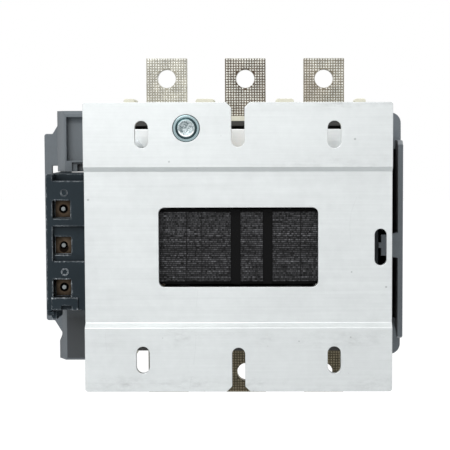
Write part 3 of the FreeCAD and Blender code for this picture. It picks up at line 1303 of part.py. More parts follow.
def build():
    """Write every sub-part."""
    os.makedirs("parts", exist_ok=True)
    save("mounting_plate", mounting_plate())
    save("earth_stud", earth_stud())
    save("earth_washer", earth_washer())
    save("earth_nut", earth_nut())
    save("core_pads", *core_pads())
    save("fixed_core", fixed_core())
    save("core_keys", *core_keys())
    save("core_cheek_plates", *core_cheek_plates())
    save("core_rivets", *core_rivets())
    save("core_pins", *core_pins())
    save("pin_sleeves", *pin_sleeves())
    save("core_brackets", *core_brackets())
    save("bracket_nuts", *bracket_nuts())
    save("shading_rings", *shading_rings())
    save("coil_bobbin", coil_bobbin())
    save("coil_winding", coil_winding())
    save("coil_links", *coil_links())
    save("terminal_block", terminal_block())
    save("clamp_plates", *clamp_plates())
    save("clamp_screws", *clamp_screws())
    save("frame_columns", *frame_columns())
    save("magnet_frame", magnet_frame())
    save("frame_screws", *frame_screws())
    save("housing_screws", *housing_screws())
    save("return_springs", *return_springs())
    save("armature", armature())
    save("armature_rivets", *armature_rivets())
    save("armature_pin", armature_pin())
    save("armature_pad", armature_pad())
    save("contact_carrier", contact_carrier())
    save("position_indicator", position_indicator())
    save("main_housing", main_housing())
    save("left_side_housing", left_side_housing())
    save("right_side_housing", right_side_housing())
    save("side_screws", *side_screws())
    save("pole_base", pole_base())
    save("base_screws", *base_screws())
    save("fixed_tips", *fixed_tips())
    save("bar_screws", *bar_screws())
    save("splitter_plates", *splitter_plates())
    save("arc_cover", arc_cover())
    save("cover_screws", *cover_screws())
    save("left_front_housing", left_front_housing())
    for number, x in enumerate(POLE_XS, 1):
        save("line_terminal_%d" % number, terminal_bar(x, 1))
        save("load_terminal_%d" % number, terminal_bar(x, -1))
        save("bridge_%d" % number, bridge(x))
        save("bridge_tips_%d" % number, *bridge_tips(x))
        save("contact_spring_%d" % number, contact_spring(x))


build()
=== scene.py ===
import math

import bpy
from bpy.props import FloatProperty, FloatVectorProperty, IntProperty, PointerProperty
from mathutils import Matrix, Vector


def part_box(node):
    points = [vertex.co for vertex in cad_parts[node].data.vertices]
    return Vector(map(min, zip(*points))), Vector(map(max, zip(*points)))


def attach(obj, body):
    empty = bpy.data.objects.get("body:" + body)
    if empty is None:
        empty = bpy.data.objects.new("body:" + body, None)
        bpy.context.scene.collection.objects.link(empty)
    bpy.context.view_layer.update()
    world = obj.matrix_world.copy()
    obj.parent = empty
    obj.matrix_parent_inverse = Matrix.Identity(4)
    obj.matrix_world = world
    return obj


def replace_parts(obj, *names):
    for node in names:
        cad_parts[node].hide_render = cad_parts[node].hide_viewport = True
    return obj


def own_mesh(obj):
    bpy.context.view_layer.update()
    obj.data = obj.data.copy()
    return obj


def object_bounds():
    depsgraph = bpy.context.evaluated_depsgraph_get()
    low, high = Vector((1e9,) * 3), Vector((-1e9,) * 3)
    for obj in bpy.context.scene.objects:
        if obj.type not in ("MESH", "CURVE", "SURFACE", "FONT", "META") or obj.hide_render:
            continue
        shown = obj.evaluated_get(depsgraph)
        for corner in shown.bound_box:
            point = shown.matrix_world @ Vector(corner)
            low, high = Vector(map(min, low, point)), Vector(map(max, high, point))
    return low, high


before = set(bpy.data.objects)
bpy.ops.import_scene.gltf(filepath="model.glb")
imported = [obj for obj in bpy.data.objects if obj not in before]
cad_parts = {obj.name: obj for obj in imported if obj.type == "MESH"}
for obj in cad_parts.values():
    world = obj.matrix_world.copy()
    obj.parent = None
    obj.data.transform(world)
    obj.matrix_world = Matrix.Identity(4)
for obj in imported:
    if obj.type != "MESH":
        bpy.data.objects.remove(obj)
CAD_BOX = [list(corner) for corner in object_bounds()]

bl_info = {
    "name": "Magnetic contactor looks",
    "version": (1, 0, 0),
    "blender": (4, 5, 0),
    "location": "View3D > Sidebar > Contactor",
    "description": "Finishes, soft edges, knurling, springs and stage of a three-pole contactor",
    "category": "Object",
}

MM = 0.001
BASE = "base"
CARRIER = "carrier"
POLES = (1, 2, 3)

# The photograph's camera; its shifts are shares of the frame, because the photograph is a cut-out of a
# wider view
CAMERA_PLACE = (0.0198, -0.6179, 0.0568)
CAMERA_TURN = 0.0
CAMERA_TILT = -3.45
CAMERA_ROLL = 0.1
CAMERA_SHIFT = (-0.1171, -0.0362)
CAMERA_LENS = 99.4
CAMERA_SENSOR = 36.0

# Lamps in metres, and what the camera sees of the floor
KEY_PLACE, KEY_SIZE = (-0.45, -0.95, 0.85), 1.3
FRONT_PLACE, FRONT_SIZE = (0.9, 1.3, 0.9), 1.2
FLOOR_SIZE = 12.0
FLOOR_GLOW = 1.16
FLOOR_SEEN = 0.8

# In millimetres: radius of the dark ring of painted shade round a clamp screw; dirt on the mounting plate,
# with the height of each band, its half width and where it begins along X, and the length over which it
# grows; and the seams in the core's leaves, with their place along X and half width
CLAMP_RING = 2.6
PLATE_DIRT = ((71.5, 4.0, 0.0), (41.5, 6.0, 10.0), (-46.0, 6.5, -90.0), (-69.0, 6.0, -90.0))
DIRT_ONSET = 40.0
CORE_SEAMS = ((-26.3, 0.28), (-18.8, 0.16), (31.3, 0.28))

# The earth stud in millimetres: half width of its head, and points of its outline from its axis and its back
STUD_HEAD = 6.8
STUD_OUTLINE = ((0.0, 0.55), (2.0, 0.45), (3.2, 0.18), (3.9, 0.02), (4.3, 0.10), (4.5, 0.75), (4.95, 0.85),
                (5.2, 0.35), (5.6, 0.0), (6.2, 0.02), (6.6, 0.25), (STUD_HEAD, 0.7), (STUD_HEAD, 1.6),
                (4.0, 1.6), (4.0, 20.4), (3.4, 21.0), (0.0, 21.0))
STUD_STEPS = 64

# Springs: sides of the wire, steps in a turn, and wire radii from a spring's end to the middle of its wire
WIRE_SIDES = 10
TURN_STEPS = 28
END_WIRES = 1.05


def colour(name, text, value):
    """A colour property, given as linear red, green and blue."""
    return FloatVectorProperty(name=name, description=text, default=value, size=3, subtype="COLOR",
                               min=0.0, max=1.0)


def length(name, text, value):
    """A length property in metres, given in millimetres."""
    return FloatProperty(name=name, description=text, default=value * MM, min=0.0, unit="LENGTH", precision=5)


def number(name, text, value, unit="NONE"):
    """A property that is a plain number, not below zero."""
    return FloatProperty(name=name, description=text, default=value, min=0.0, unit=unit)


class ContactorMetals(bpy.types.PropertyGroup):
    """Colours and edge sizes of the metal pieces."""
    plate: colour("Plate", "Bare sheet of the mounting plate and the magnet frame", (0.64, 0.665, 0.665))
    zinc: colour("Zinc", "Plated fasteners and brackets", (0.60, 0.64, 0.66))
    tin: colour("Tin", "Raised points and sides of the terminal bars", (0.76, 0.76, 0.71))
    tarnish: colour("Tarnish", "Grooves between the points of the bars", (0.13, 0.095, 0.07))
    # The lower bars' colour is tarnish, made darker still as painted shade for the space behind the mounting
    # plate
    load: colour("Load bars", "Tarnished points of the lower bars, darker still as painted shade", (0.26, 0.23, 0.16))
    core: colour("Core", "Varnished edges of the magnet's leaves", (0.020, 0.020, 0.021))
    copper: colour("Copper", "Bridges and shading rings", (0.72, 0.34, 0.20))
    silver: colour("Silver", "Contact tips", (0.80, 0.79, 0.76))
    clamp: colour("Clamp", "Plates of the coil's terminals", (0.15, 0.11, 0.075))
    sheet_edge: length("Sheet edge", "Radius on the edges of the sheet metal", 0.22)
    bar_edge: length("Bar edge", "Radius on the edges of the bars", 0.3)


class ContactorMouldings(bpy.types.PropertyGroup):
    """Colours and edge sizes of the moulded pieces."""
    grey: colour("Grey", "Side and front housings", (0.115, 0.132, 0.145))
    block: colour("Block", "Coil terminal block", (0.016, 0.024, 0.030))
    dark: colour("Dark", "Main housing and arc cover", (0.026, 0.025, 0.023))
    cream: colour("Cream", "Pole base and its barriers", (0.92, 0.88, 0.72))
    black: colour("Black", "Carrier and bobbin", (0.018, 0.018, 0.019))
    red: colour("Red", "Position indicator", (0.55, 0.03, 0.02))
    tape: colour("Tape", "Wrapping of the coil", (0.46, 0.30, 0.06))
    case_edge: length("Case edge", "Radius on the edges of the cases", 0.45)
    small_edge: length("Small edge", "Radius on the edges of small mouldings", 0.25)


class ContactorKnurl(bpy.types.PropertyGroup):
    """The raised points on the back of the terminal bars."""
    pitch: length("Pitch", "Distance from point to point", 1.6)
    foot: length("Foot", "Half width of a point at its foot", 0.66)
    top: length("Top", "Half width of a point at its top", 0.37)
    height: length("Height", "How far a point stands out of its groove", 0.3)
    start: length("Start", "Distance from the middle at which the points begin", 67.6)
    hole_height: length("Hole height", "Distance from the middle to a bolt hole", 90.5)
    hole_radius: length("Hole radius", "Radius of a bolt hole", 5.5)
    columns: IntProperty(name="Columns", description="Points across a bar", default=15, min=1)


class ContactorSprings(bpy.types.PropertyGroup):
    """Round-wire springs that stand for the plain ones of the frame."""
    return_turns: number("Return turns", "Turns of a return spring", 7.0)
    contact_turns: number("Contact turns", "Turns of a contact spring", 4.0)
    return_radius: length("Return radius", "Radius of a return spring, at the middle of its wire", 5.6)
    contact_radius: length("Contact radius", "Radius of a contact spring, at the middle of its wire", 4.9)
    return_wire: length("Return wire", "Wire radius of a return spring", 0.75)
    contact_wire: length("Contact wire", "Wire radius of a contact spring", 0.85)


class ContactorStage(bpy.types.PropertyGroup):
    """Floor, lamps and background."""
    drop: number("Drop", "How far the floor lies below the part", 0.2, "LENGTH")
    sky: number("Sky", "Strength of the light from all round", 0.62)
    key: number("Key", "Power of the main lamp", 15.0, "POWER")
    fill: number("Fill", "Power of the lamp on the front", 5.0, "POWER")


def settings(kind):
    """One of the scene's property groups."""
    return getattr(bpy.context.scene, "contactor_" + kind)


# Selection and mesh helpers

def deselect():
    """Nothing selected and no mode but object mode."""
    if bpy.context.object and bpy.context.object.mode != "OBJECT":
        bpy.ops.object.mode_set(mode="OBJECT")
    bpy.ops.object.select_all(action="DESELECT")


def only(piece):
    """Make a piece the one that operators act on."""
    deselect()
    bpy.context.view_layer.objects.active = piece
    piece.select_set(True)


def apply_modifiers(piece):
    """Turn every modifier of a piece into its mesh."""
    only(piece)
    for modifier in list(piece.modifiers):
        bpy.ops.object.modifier_apply(modifier=modifier.name)


def settle(piece, name, body, material, smooth=35.0, flat=False):
    """Name a finished piece, put its place in its mesh, and let it ride on its body."""
    only(piece)
    piece.name = name
    piece.data.name = name
    bpy.ops.object.transform_apply(location=True, rotation=True, scale=True)
    bpy.ops.object.shade_smooth_by_angle(angle=math.radians(smooth))
    if flat:
        weigh = piece.modifiers.new("normals", "WEIGHTED_NORMAL")
        weigh.keep_sharp = True
        weigh.weight = 100
        apply_modifiers(piece)
    if material:
        piece.data.materials.clear()
        piece.data.materials.append(material)
    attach(piece, body)
    return piece


def merged_copy(node_name):
    """A loose copy of a node's mesh with its doubles merged and its flat faces whole."""
    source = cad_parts[node_name]
    piece = bpy.data.objects.new(node_name + "_copy", source.data.copy())
    bpy.context.scene.collection.objects.link(piece)
    only(piece)
    bpy.ops.object.mode_set(mode="EDIT")
    bpy.ops.mesh.select_all(action="SELECT")
    bpy.ops.mesh.remove_doubles(threshold=0.002 * MM)
    bpy.ops.mesh.dissolve_limited(angle_limit=math.radians(0.4))
    bpy.ops.object.mode_set(mode="OBJECT")
    return piece


def bevel(piece, radius, segments=2, sharp=40.0):
    """Round the sharp edges of a piece."""
    modifier = piece.modifiers.new("edges", "BEVEL")
    modifier.width = radius
    modifier.segments = segments
    modifier.limit_method = "ANGLE"
    modifier.angle_limit = math.radians(sharp)
    modifier.use_clamp_overlap = False
    modifier.loop_slide = False
    apply_modifiers(piece)


def softened(node_name, body, material, radius, segments=2):
    """A node's own shape with rounded edges, which stands for the node."""
    piece = merged_copy(node_name)
    bevel(piece, radius, segments)
    settle(piece, node_name + "_finished", body, material, 50.0, flat=True)
    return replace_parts(piece, node_name)


def dress(node_name, material):
    """Give a node of the frame its finish."""
    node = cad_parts[node_name]
    for slot in node.material_slots:
        slot.material = material
    if not node.material_slots:
        node.data.materials.append(material)


# Node helpers

def put(tree, kind, inputs=None, **values):
    """Add a node; inputs are values or sockets, by name or number."""
    made = tree.nodes.new("ShaderNode" + kind)
    for name, value in values.items():
        setattr(made, name, value)
    for name, value in (inputs or {}).items():
        if isinstance(value, bpy.types.NodeSocket):
            tree.links.new(value, made.inputs[name])
        else:
            made.inputs[name].default_value = value
    return made


def calc(tree, operation, first, second=0.0, clamp=False):
    """One step of arithmetic."""
    return put(tree, "Math", {0: first, 1: second}, operation=operation, use_clamp=clamp).outputs[0]


def mixture(tree, *shares):
    """The sum of several values, each times its share."""
    total = 0.0
    for value, share in shares:
        total = calc(tree, "ADD", total, calc(tree, "MULTIPLY", value, share))
    return total


def slope(tree, first, second):
    """Distance that two others at right angles give."""
    squares = [calc(tree, "MULTIPLY", value, value) for value in (first, second)]
    return calc(tree, "SQRT", calc(tree, "ADD", *squares))


def remap(tree, value, low, high, out_low=0.0, out_high=1.0, smooth=False):
    """A value moved from one range to another, and kept inside it."""
    kind = "SMOOTHSTEP" if smooth else "LINEAR"
    made = put(tree, "MapRange", {"Value": value, "From Min": low, "From Max": high,
                                  "To Min": out_low, "To Max": out_high}, interpolation_type=kind)
    return made.outputs[0]


def blend_colours(tree, share, first, second):
    """A colour between two others."""
    made = put(tree, "Mix", data_type="RGBA")
    for number, value in ((0, share), (6, first), (7, second)):
        if isinstance(value, bpy.types.NodeSocket):
            tree.links.new(value, made.inputs[number])
        elif number == 0:
            made.inputs[number].default_value = value
        else:
            made.inputs[number].default_value = (*value, 1.0)
    return made.outputs[2]


def place(tree, scale=(1.0, 1.0, 1.0)):
    """Places on the piece, stretched per axis."""
    spot = put(tree, "TexCoord").outputs["Object"]
    return put(tree, "Mapping", {"Vector": spot, "Scale": scale}).outputs[0]


def spot_parts(tree):
    """X, Y and Z of places on the piece."""
    return put(tree, "SeparateXYZ", {0: put(tree, "TexCoord").outputs["Object"]}).outputs


def normal_parts(tree):
    """X, Y and Z of the way that the surface faces."""
    return put(tree, "SeparateXYZ", {0: put(tree, "NewGeometry").outputs["Normal"]}).outputs


def noise(tree, spot, scale, detail=3.0, rough=0.5):
    """Cloudy noise from 0 to 1."""
    inputs = {"Vector": spot, "Scale": scale, "Detail": detail, "Roughness": rough}
    return put(tree, "TexNoise", inputs).outputs[0]


def effect(name, inputs, outputs):
    """An empty node group with named float inputs and outputs, and its two end nodes."""
    tree = bpy.data.node_groups.new(name, "ShaderNodeTree")
    for label, value in inputs.items():
        tree.interface.new_socket(label, in_out="INPUT", socket_type="NodeSocketFloat").default_value = value
    for label in outputs:
        tree.interface.new_socket(label, in_out="OUTPUT", socket_type="NodeSocketFloat")
    return tree, tree.nodes.new("NodeGroupInput").outputs, tree.nodes.new("NodeGroupOutput").inputs


def use(tree, group, **values):
    """Place a node group with its own values and return its outputs."""
    made = tree.nodes.new("ShaderNodeGroup")
    made.node_tree = group
    for label, value in values.items():
        made.inputs[label.replace("_", " ")].default_value = value
    return made.outputs


def edge_wear_effect():
    """Mask on outer edges, broken up by noise."""
    tree, given, result = effect("edge wear", {"Reach": 0.0006, "Grain": 900.0, "Amount": 0.5}, ("Mask",))
    closed = put(tree, "AmbientOcclusion", {"Distance": given["Reach"]}, inside=True, only_local=True,
                 samples=6)
    edge = calc(tree, "SUBTRACT", 1.0, closed.outputs["AO"])
    broken = noise(tree, place(tree), given["Grain"], 4.0, 0.7)
    shifted = calc(tree, "ADD", edge, calc(tree, "MULTIPLY", calc(tree, "SUBTRACT", broken, 0.5), 1.2))
    patch = remap(tree, noise(tree, place(tree), 110.0, 3.0, 0.6), 0.38, 0.62, 0.15, 1.0)
    mask = calc(tree, "MULTIPLY", remap(tree, shifted, 0.35, 0.6, smooth=True), patch)
    tree.links.new(calc(tree, "MULTIPLY", mask, given["Amount"], True), result["Mask"])
    return tree


def moulded_grain_effect():
    """Fine spark-eroded grain of a moulding."""
    tree, given, result = effect("moulded grain", {"Scale": 1800.0}, ("Height", "Shade"))
    fine = noise(tree, place(tree), given["Scale"], 2.0, 0.6)
    wide = noise(tree, place(tree), 38.0, 4.0, 0.6)
    tree.links.new(fine, result["Height"])
    tree.links.new(mixture(tree, (fine, 0.4), (wide, 0.6)), result["Shade"])
    return tree


def rolled_effect():
    """Rolling streaks and clouds of bare sheet, along X."""
    tree, given, result = effect("rolled sheet", {"Streaks": 900.0}, ("Height", "Shade"))
    streak = noise(tree, place(tree, (0.02, 1.0, 1.0)), given["Streaks"], 2.0, 0.6)
    cloud = noise(tree, place(tree), 22.0, 5.0, 0.62)
    mottle = noise(tree, place(tree), 260.0, 3.0, 0.6)
    tree.links.new(mixture(tree, (streak, 0.5), (mottle, 0.5)), result["Height"])
    tree.links.new(mixture(tree, (cloud, 0.35), (streak, 0.35), (mottle, 0.3)), result["Shade"])
    return tree


def marks_effect():
    """Small dark specks and short fine scratches."""
    tree, given, result = effect("marks", {"Specks": 60.0, "Speck size": 0.035, "Scratches": 0.15}, ("Mask",))
    spot = place(tree)
    cells = put(tree, "TexVoronoi", {"Vector": spot, "Scale": given["Specks"], "Randomness": 1.0})
    chance = put(tree, "SeparateColor", {0: cells.outputs["Color"]}).outputs[0]
    size = calc(tree, "MULTIPLY", chance, given["Speck size"])
    dot = calc(tree, "LESS_THAN", cells.outputs["Distance"], size)
    warp = put(tree, "TexNoise", {"Vector": spot, "Scale": 9.0}).outputs["Color"]
    sway = put(tree, "VectorMath", {0: warp, 3: 0.05}, operation="SCALE").outputs[0]
    bent = put(tree, "VectorMath", {0: spot, 1: sway}, operation="ADD").outputs[0]
    wave = put(tree, "TexWave", {"Vector": bent, "Scale": 14.0, "Distortion": 3.0, "Detail": 1.0})
    line = wave.outputs["Fac"]
    hair = calc(tree, "GREATER_THAN", line, 0.9993)
    here = calc(tree, "GREATER_THAN", noise(tree, spot, 30.0, 2.0), 0.63)
    scratch = calc(tree, "MULTIPLY", calc(tree, "MULTIPLY", hair, here), given["Scratches"])
    tree.links.new(calc(tree, "MAXIMUM", dot, scratch), result["Mask"])
    return tree


def leaves_effect():
    """Edges of thin steel leaves stacked along Z."""
    tree, given, result = effect("leaves", {"Pitch": 0.0006}, ("Height", "Shade"))
    parts = spot_parts(tree)
    count = calc(tree, "DIVIDE", parts[2], given["Pitch"])
    leaf = calc(tree, "FLOOR", count)
    within = calc(tree, "ABSOLUTE", calc(tree, "SUBTRACT", calc(tree, "FRACT", count), 0.5))
    crest = calc(tree, "SUBTRACT", 1.0, calc(tree, "MULTIPLY", within, 2.0))
    along = put(tree, "CombineXYZ", {0: calc(tree, "MULTIPLY", parts[0], 900.0),
                                     1: calc(tree, "MULTIPLY", parts[1], 160.0),
                                     2: calc(tree, "MULTIPLY", leaf, 7.3)}).outputs[0]
    own = put(tree, "TexWhiteNoise", {"W": leaf}, noise_dimensions="1D").outputs[0]
    smear = remap(tree, noise(tree, along, 1.0, 3.0, 0.75), 0.38, 0.72)
    shade = calc(tree, "MULTIPLY", smear, calc(tree, "ADD", 0.4, calc(tree, "MULTIPLY", own, 0.6)))
    tree.links.new(calc(tree, "MULTIPLY", shade, remap(tree, crest, 0.1, 0.7)), result["Shade"])
    tree.links.new(calc(tree, "MINIMUM", crest, 0.6), result["Height"])
    return tree


EFFECTS = {}
MATERIALS = {}


def shared(name):
    """One of the shared effects, built the first time that it is asked for."""
    makers = {"edge": edge_wear_effect, "grain": moulded_grain_effect, "rolled": rolled_effect,
              "marks": marks_effect, "leaves": leaves_effect}
    if name not in EFFECTS:
        EFFECTS[name] = makers[name]()
    return EFFECTS[name]


def empty_material(name, metallic, coat=0.0, specular=0.5):
    """A new material with its tree and its shader."""
    material = bpy.data.materials.new(name)
    material.use_nodes = True
    tree = material.node_tree
    shader = tree.nodes["Principled BSDF"]
    shader.inputs["Metallic"].default_value = metallic
    shader.inputs["Coat Weight"].default_value = coat
    shader.inputs["Specular IOR Level"].default_value = specular
    return material, tree, shader


def finish_material(tree, shader, base, rough, height=None, strength=0.2, depth=0.00005):
    """Link colour, roughness and bump to the shader."""
    tree.links.new(base, shader.inputs["Base Color"])
    if isinstance(rough, bpy.types.NodeSocket):
        tree.links.new(rough, shader.inputs["Roughness"])
    else:
        shader.inputs["Roughness"].default_value = rough
    if height is not None:
        bump = put(tree, "Bump", {"Height": height, "Strength": strength, "Distance": depth})
        tree.links.new(bump.outputs[0], shader.inputs["Normal"])


def shifted(rgb, factor):
    """A colour made lighter or darker."""
    return tuple(min(1.0, channel * factor) for channel in rgb)


def dirt_mask(tree, bands):
    """Smudges along bands of the plate, broken up by noise."""
    parts = spot_parts(tree)
    share = 0.0
    for height, reach, start in bands:
        away = calc(tree, "ABSOLUTE", calc(tree, "SUBTRACT", parts[2], height * MM))
        grown = remap(tree, parts[0], start * MM, (start + DIRT_ONSET) * MM)
        band = calc(tree, "MULTIPLY", remap(tree, away, reach * MM, 0.0), grown)
        share = calc(tree, "MAXIMUM", share, band)
    patch = remap(tree, noise(tree, place(tree, (0.5, 1.0, 1.0)), 50.0, 3.0, 0.6), 0.42, 0.62)
    fine = remap(tree, noise(tree, place(tree, (0.4, 1.0, 1.0)), 420.0, 4.0, 0.7), 0.42, 0.66)
    return calc(tree, "MULTIPLY", calc(tree, "MULTIPLY", share, patch), fine)


def sheet_material(name, rgb, rough=0.42, dirt=(), bump=0.18):
    """Bare rolled sheet with clouds, streaks, specks, dirt in bands and bright edges."""
    material, tree, shader = empty_material(name, 0.85)
    rolled = use(tree, shared("rolled"))
    tone = blend_colours(tree, remap(tree, rolled["Shade"], 0.3, 0.7), shifted(rgb, 0.92), shifted(rgb, 1.06))
    if dirt:
        smudge = calc(tree, "MULTIPLY", dirt_mask(tree, dirt), 0.45)
        tone = blend_colours(tree, smudge, tone, shifted(rgb, 0.4))
    marks = use(tree, shared("marks"), Specks=120.0, Speck_size=0.07)["Mask"]
    tone = blend_colours(tree, calc(tree, "MULTIPLY", marks, 0.55), tone, shifted(rgb, 0.45))
    edge = use(tree, shared("edge"), Reach=0.0004, Amount=0.6)["Mask"]
    tone = blend_colours(tree, edge, tone, shifted(rgb, 1.15))
    roughness = remap(tree, rolled["Shade"], 0.3, 0.7, rough - 0.05, rough + 0.08)
    finish_material(tree, shader, tone, roughness, rolled["Height"], bump, 0.00004)
    return material


def plated_material(name, rgb, rough=0.32, dirt=0.35):
    """Zinc or tin plating, with painted shade in the hollows and brighter on the edges."""
    material, tree, shader = empty_material(name, 1.0)
    cloud = noise(tree, place(tree), 420.0, 4.0, 0.65)
    tone = blend_colours(tree, remap(tree, cloud, 0.35, 0.7), shifted(rgb, 0.8), shifted(rgb, 1.1))
    # Painted shade: darker where the surface is shut in, within a small reach
    closed = put(tree, "AmbientOcclusion", {"Distance": 0.0012}, samples=6).outputs["AO"]
    hollow = calc(tree, "MULTIPLY", calc(tree, "SUBTRACT", 1.0, closed), dirt, True)
    tone = blend_colours(tree, hollow, tone, shifted(rgb, 0.2))
    edge = use(tree, shared("edge"), Reach=0.0003, Amount=0.7)["Mask"]
    tone = blend_colours(tree, edge, tone, shifted(rgb, 1.35))
    roughness = remap(tree, cloud, 0.3, 0.7, rough - 0.06, rough + 0.14)
    finish_material(tree, shader, tone, roughness, cloud, 0.15, 0.00003)
    return material


def bar_material(name, tin, tarnish, stain):
    """Tinned bar: grooves on its back are tarnished, its points and sides are bright."""
    material, tree, shader = empty_material(name, 0.85)
    back = remap(tree, calc(tree, "MULTIPLY", normal_parts(tree)[1], -1.0), 0.9, 0.99)
    floor_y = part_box("line_terminal_1")[0].y
    low = remap(tree, spot_parts(tree)[1], floor_y - 0.12 * MM, floor_y - 0.02 * MM)
    groove = calc(tree, "MULTIPLY", back, low)
    cloud = noise(tree, place(tree), 130.0, 5.0, 0.7)
    patch = remap(tree, noise(tree, place(tree), 60.0, 3.0, 0.6), 0.45, 0.7)
    bright = blend_colours(tree, remap(tree, cloud, 0.35, 0.7), shifted(tin, 0.72), shifted(tin, 1.1))
    bright = blend_colours(tree, calc(tree, "MULTIPLY", patch, stain), bright, (0.36, 0.22, 0.14))
    dull = blend_colours(tree, cloud, shifted(tarnish, 0.6), shifted(tarnish, 1.5))
    tone = blend_colours(tree, groove, bright, dull)
    roughness = remap(tree, groove, 0.0, 1.0, 0.38, 0.75)
    finish_material(tree, shader, tone, roughness, cloud, 0.2, 0.00004)
    return material


def stud_material(name):
    """Plated stud head: dark groove, pitted middle and a painted highlight, a bright crescent on the lower
    side of its rim.
    """
    material, tree, shader = empty_material(name, 0.9)
    low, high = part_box("earth_stud")
    parts = spot_parts(tree)
    head = (high.x - low.x) / 2
    across = calc(tree, "DIVIDE", calc(tree, "SUBTRACT", parts[0], (low.x + high.x) / 2), head)
    up = calc(tree, "DIVIDE", calc(tree, "SUBTRACT", parts[2], (low.z + high.z) / 2), head)
    radius = slope(tree, across, up)
    pits = noise(tree, place(tree), 1500.0, 4.0, 0.7)
    disc = remap(tree, radius, 0.64, 0.58)
    groove = calc(tree, "MULTIPLY", remap(tree, radius, 0.62, 0.68), remap(tree, radius, 0.80, 0.74))
    rim = calc(tree, "MULTIPLY", remap(tree, radius, 0.50, 0.56), disc)
    # Painted highlight: a bright crescent on the lower side of the rim
    worn = calc(tree, "MULTIPLY", rim, remap(tree, up, -0.1, -0.3))
    tone = blend_colours(tree, remap(tree, pits, 0.42, 0.56), (0.12, 0.16, 0.17), (0.50, 0.56, 0.57))
    tone = blend_colours(tree, disc, (0.36, 0.46, 0.48), tone)
    tone = blend_colours(tree, groove, tone, (0.035, 0.07, 0.075))
    tone = blend_colours(tree, remap(tree, radius, 0.93, 0.985), tone, (0.10, 0.17, 0.18))
    tone = blend_colours(tree, worn, tone, (0.97, 0.98, 0.97))
    height = calc(tree, "MULTIPLY", pits, disc)
    finish_material(tree, shader, tone, remap(tree, disc, 0.0, 1.0, 0.22, 0.4), height, 0.5, 0.0001)
    return material


def leaves_material(name, rgb):
    """Edges of varnished steel leaves, dark with grey streaks along each leaf."""
    material, tree, shader = empty_material(name, 0.0, specular=0.12)
    leaves = use(tree, shared("leaves"), Pitch=1.0 * MM)
    cloud = remap(tree, noise(tree, place(tree, (0.35, 1.0, 1.0)), 420.0, 5.0, 0.75), 0.36, 0.62, 0.35, 1.25)
    shade = calc(tree, "MULTIPLY", leaves["Shade"], cloud)
    tone = blend_colours(tree, shade, shifted(rgb, 0.2), shifted(rgb, 9.0))
    spot_x = spot_parts(tree)[0]
    seams = 0.0
    for seam_x, width in CORE_SEAMS:
        gap = calc(tree, "ABSOLUTE", calc(tree, "SUBTRACT", spot_x, seam_x * MM))
        seams = calc(tree, "MAXIMUM", seams, calc(tree, "LESS_THAN", gap, width * MM))
    tone = blend_colours(tree, calc(tree, "MULTIPLY", seams, 0.8), tone, shifted(rgb, 0.15))
    finish_material(tree, shader, tone, 0.6, leaves["Height"], 0.5, 0.0001)
    return material


def moulded_material(name, rgb, rough=0.5, wear=0.35, wear_rgb=None, grain=0.25, reach=0.5, coat=0.0,
                     specular=0.5, foot=None, inside=False):
    """Moulded plastic with fine grain, clouds, painted shade in its hollows and paler edges.

    With a foot, its lower end that faces the front is darker, as painted shade; with an inside, its walls
    that face left are darker, also as painted shade.
    """
    material, tree, shader = empty_material(name, 0.0, coat, specular)
    skin = use(tree, shared("grain"))
    tone = blend_colours(tree, remap(tree, skin["Shade"], 0.35, 0.65), shifted(rgb, 0.86), shifted(rgb, 1.14))
    # Painted shade: darker in hollows and near other parts, within a reach of 20 mm
    depth = put(tree, "AmbientOcclusion", {"Distance": 0.02}, samples=8).outputs["AO"]
    tone = blend_colours(tree, remap(tree, depth, 0.05, 0.6, 0.85, 0.0), tone, shifted(rgb, 0.05))
    # Painted shade: the lower end, on faces towards the front, darker towards the bottom
    if foot:
        grime = calc(tree, "MULTIPLY", remap(tree, spot_parts(tree)[2], foot[1] * MM, foot[0] * MM),
                     remap(tree, normal_parts(tree)[1], -0.9, -0.98, 0.25, 0.85))
        tone = blend_colours(tree, grime, tone, shifted(rgb, 0.12))
    # Painted shade: walls that face left are made nearly black
    if inside:
        walls = remap(tree, normal_parts(tree)[0], -0.4, -0.8, 0.0, 0.95)
        tone = blend_colours(tree, walls, tone, shifted(rgb, 0.03))
    edge = use(tree, shared("edge"), Reach=reach * MM, Amount=wear)["Mask"]
    tone = blend_colours(tree, edge, tone, wear_rgb or shifted(rgb, 2.2))
    marks = use(tree, shared("marks"), Speck_size=0.02, Scratches=0.35)["Mask"]
    tone = blend_colours(tree, calc(tree, "MULTIPLY", marks, 0.4), tone, shifted(rgb, 2.4))
    roughness = remap(tree, skin["Shade"], 0.35, 0.65, rough - 0.06, rough + 0.08)
    finish_material(tree, shader, tone, roughness, skin["Height"], grain, 0.00005)
    return material


def wrapped_material(name, rgb):
    """Insulating tape wound in overlapping turns along Y."""
    material, tree, shader = empty_material(name, 0.0, 0.25)
    wobble = calc(tree, "MULTIPLY", noise(tree, place(tree), 45.0, 2.0), 1.2 * MM)
    depth = calc(tree, "ADD", spot_parts(tree)[1], wobble)
    turn = calc(tree, "FRACT", calc(tree, "DIVIDE", depth, 6.2 * MM))
    lap = remap(tree, turn, 0.0, 0.12)
    cloud = noise(tree, place(tree), 70.0, 4.0, 0.6)
    tone = blend_colours(tree, cloud, shifted(rgb, 0.7), shifted(rgb, 1.25))
    under = calc(tree, "MULTIPLY", calc(tree, "SUBTRACT", 1.0, lap), 0.6)
    tone = blend_colours(tree, under, tone, shifted(rgb, 0.35))
    finish_material(tree, shader, tone, 0.36, mixture(tree, (lap, 0.7), (cloud, 0.3)), 0.5, 0.0002)
    return material


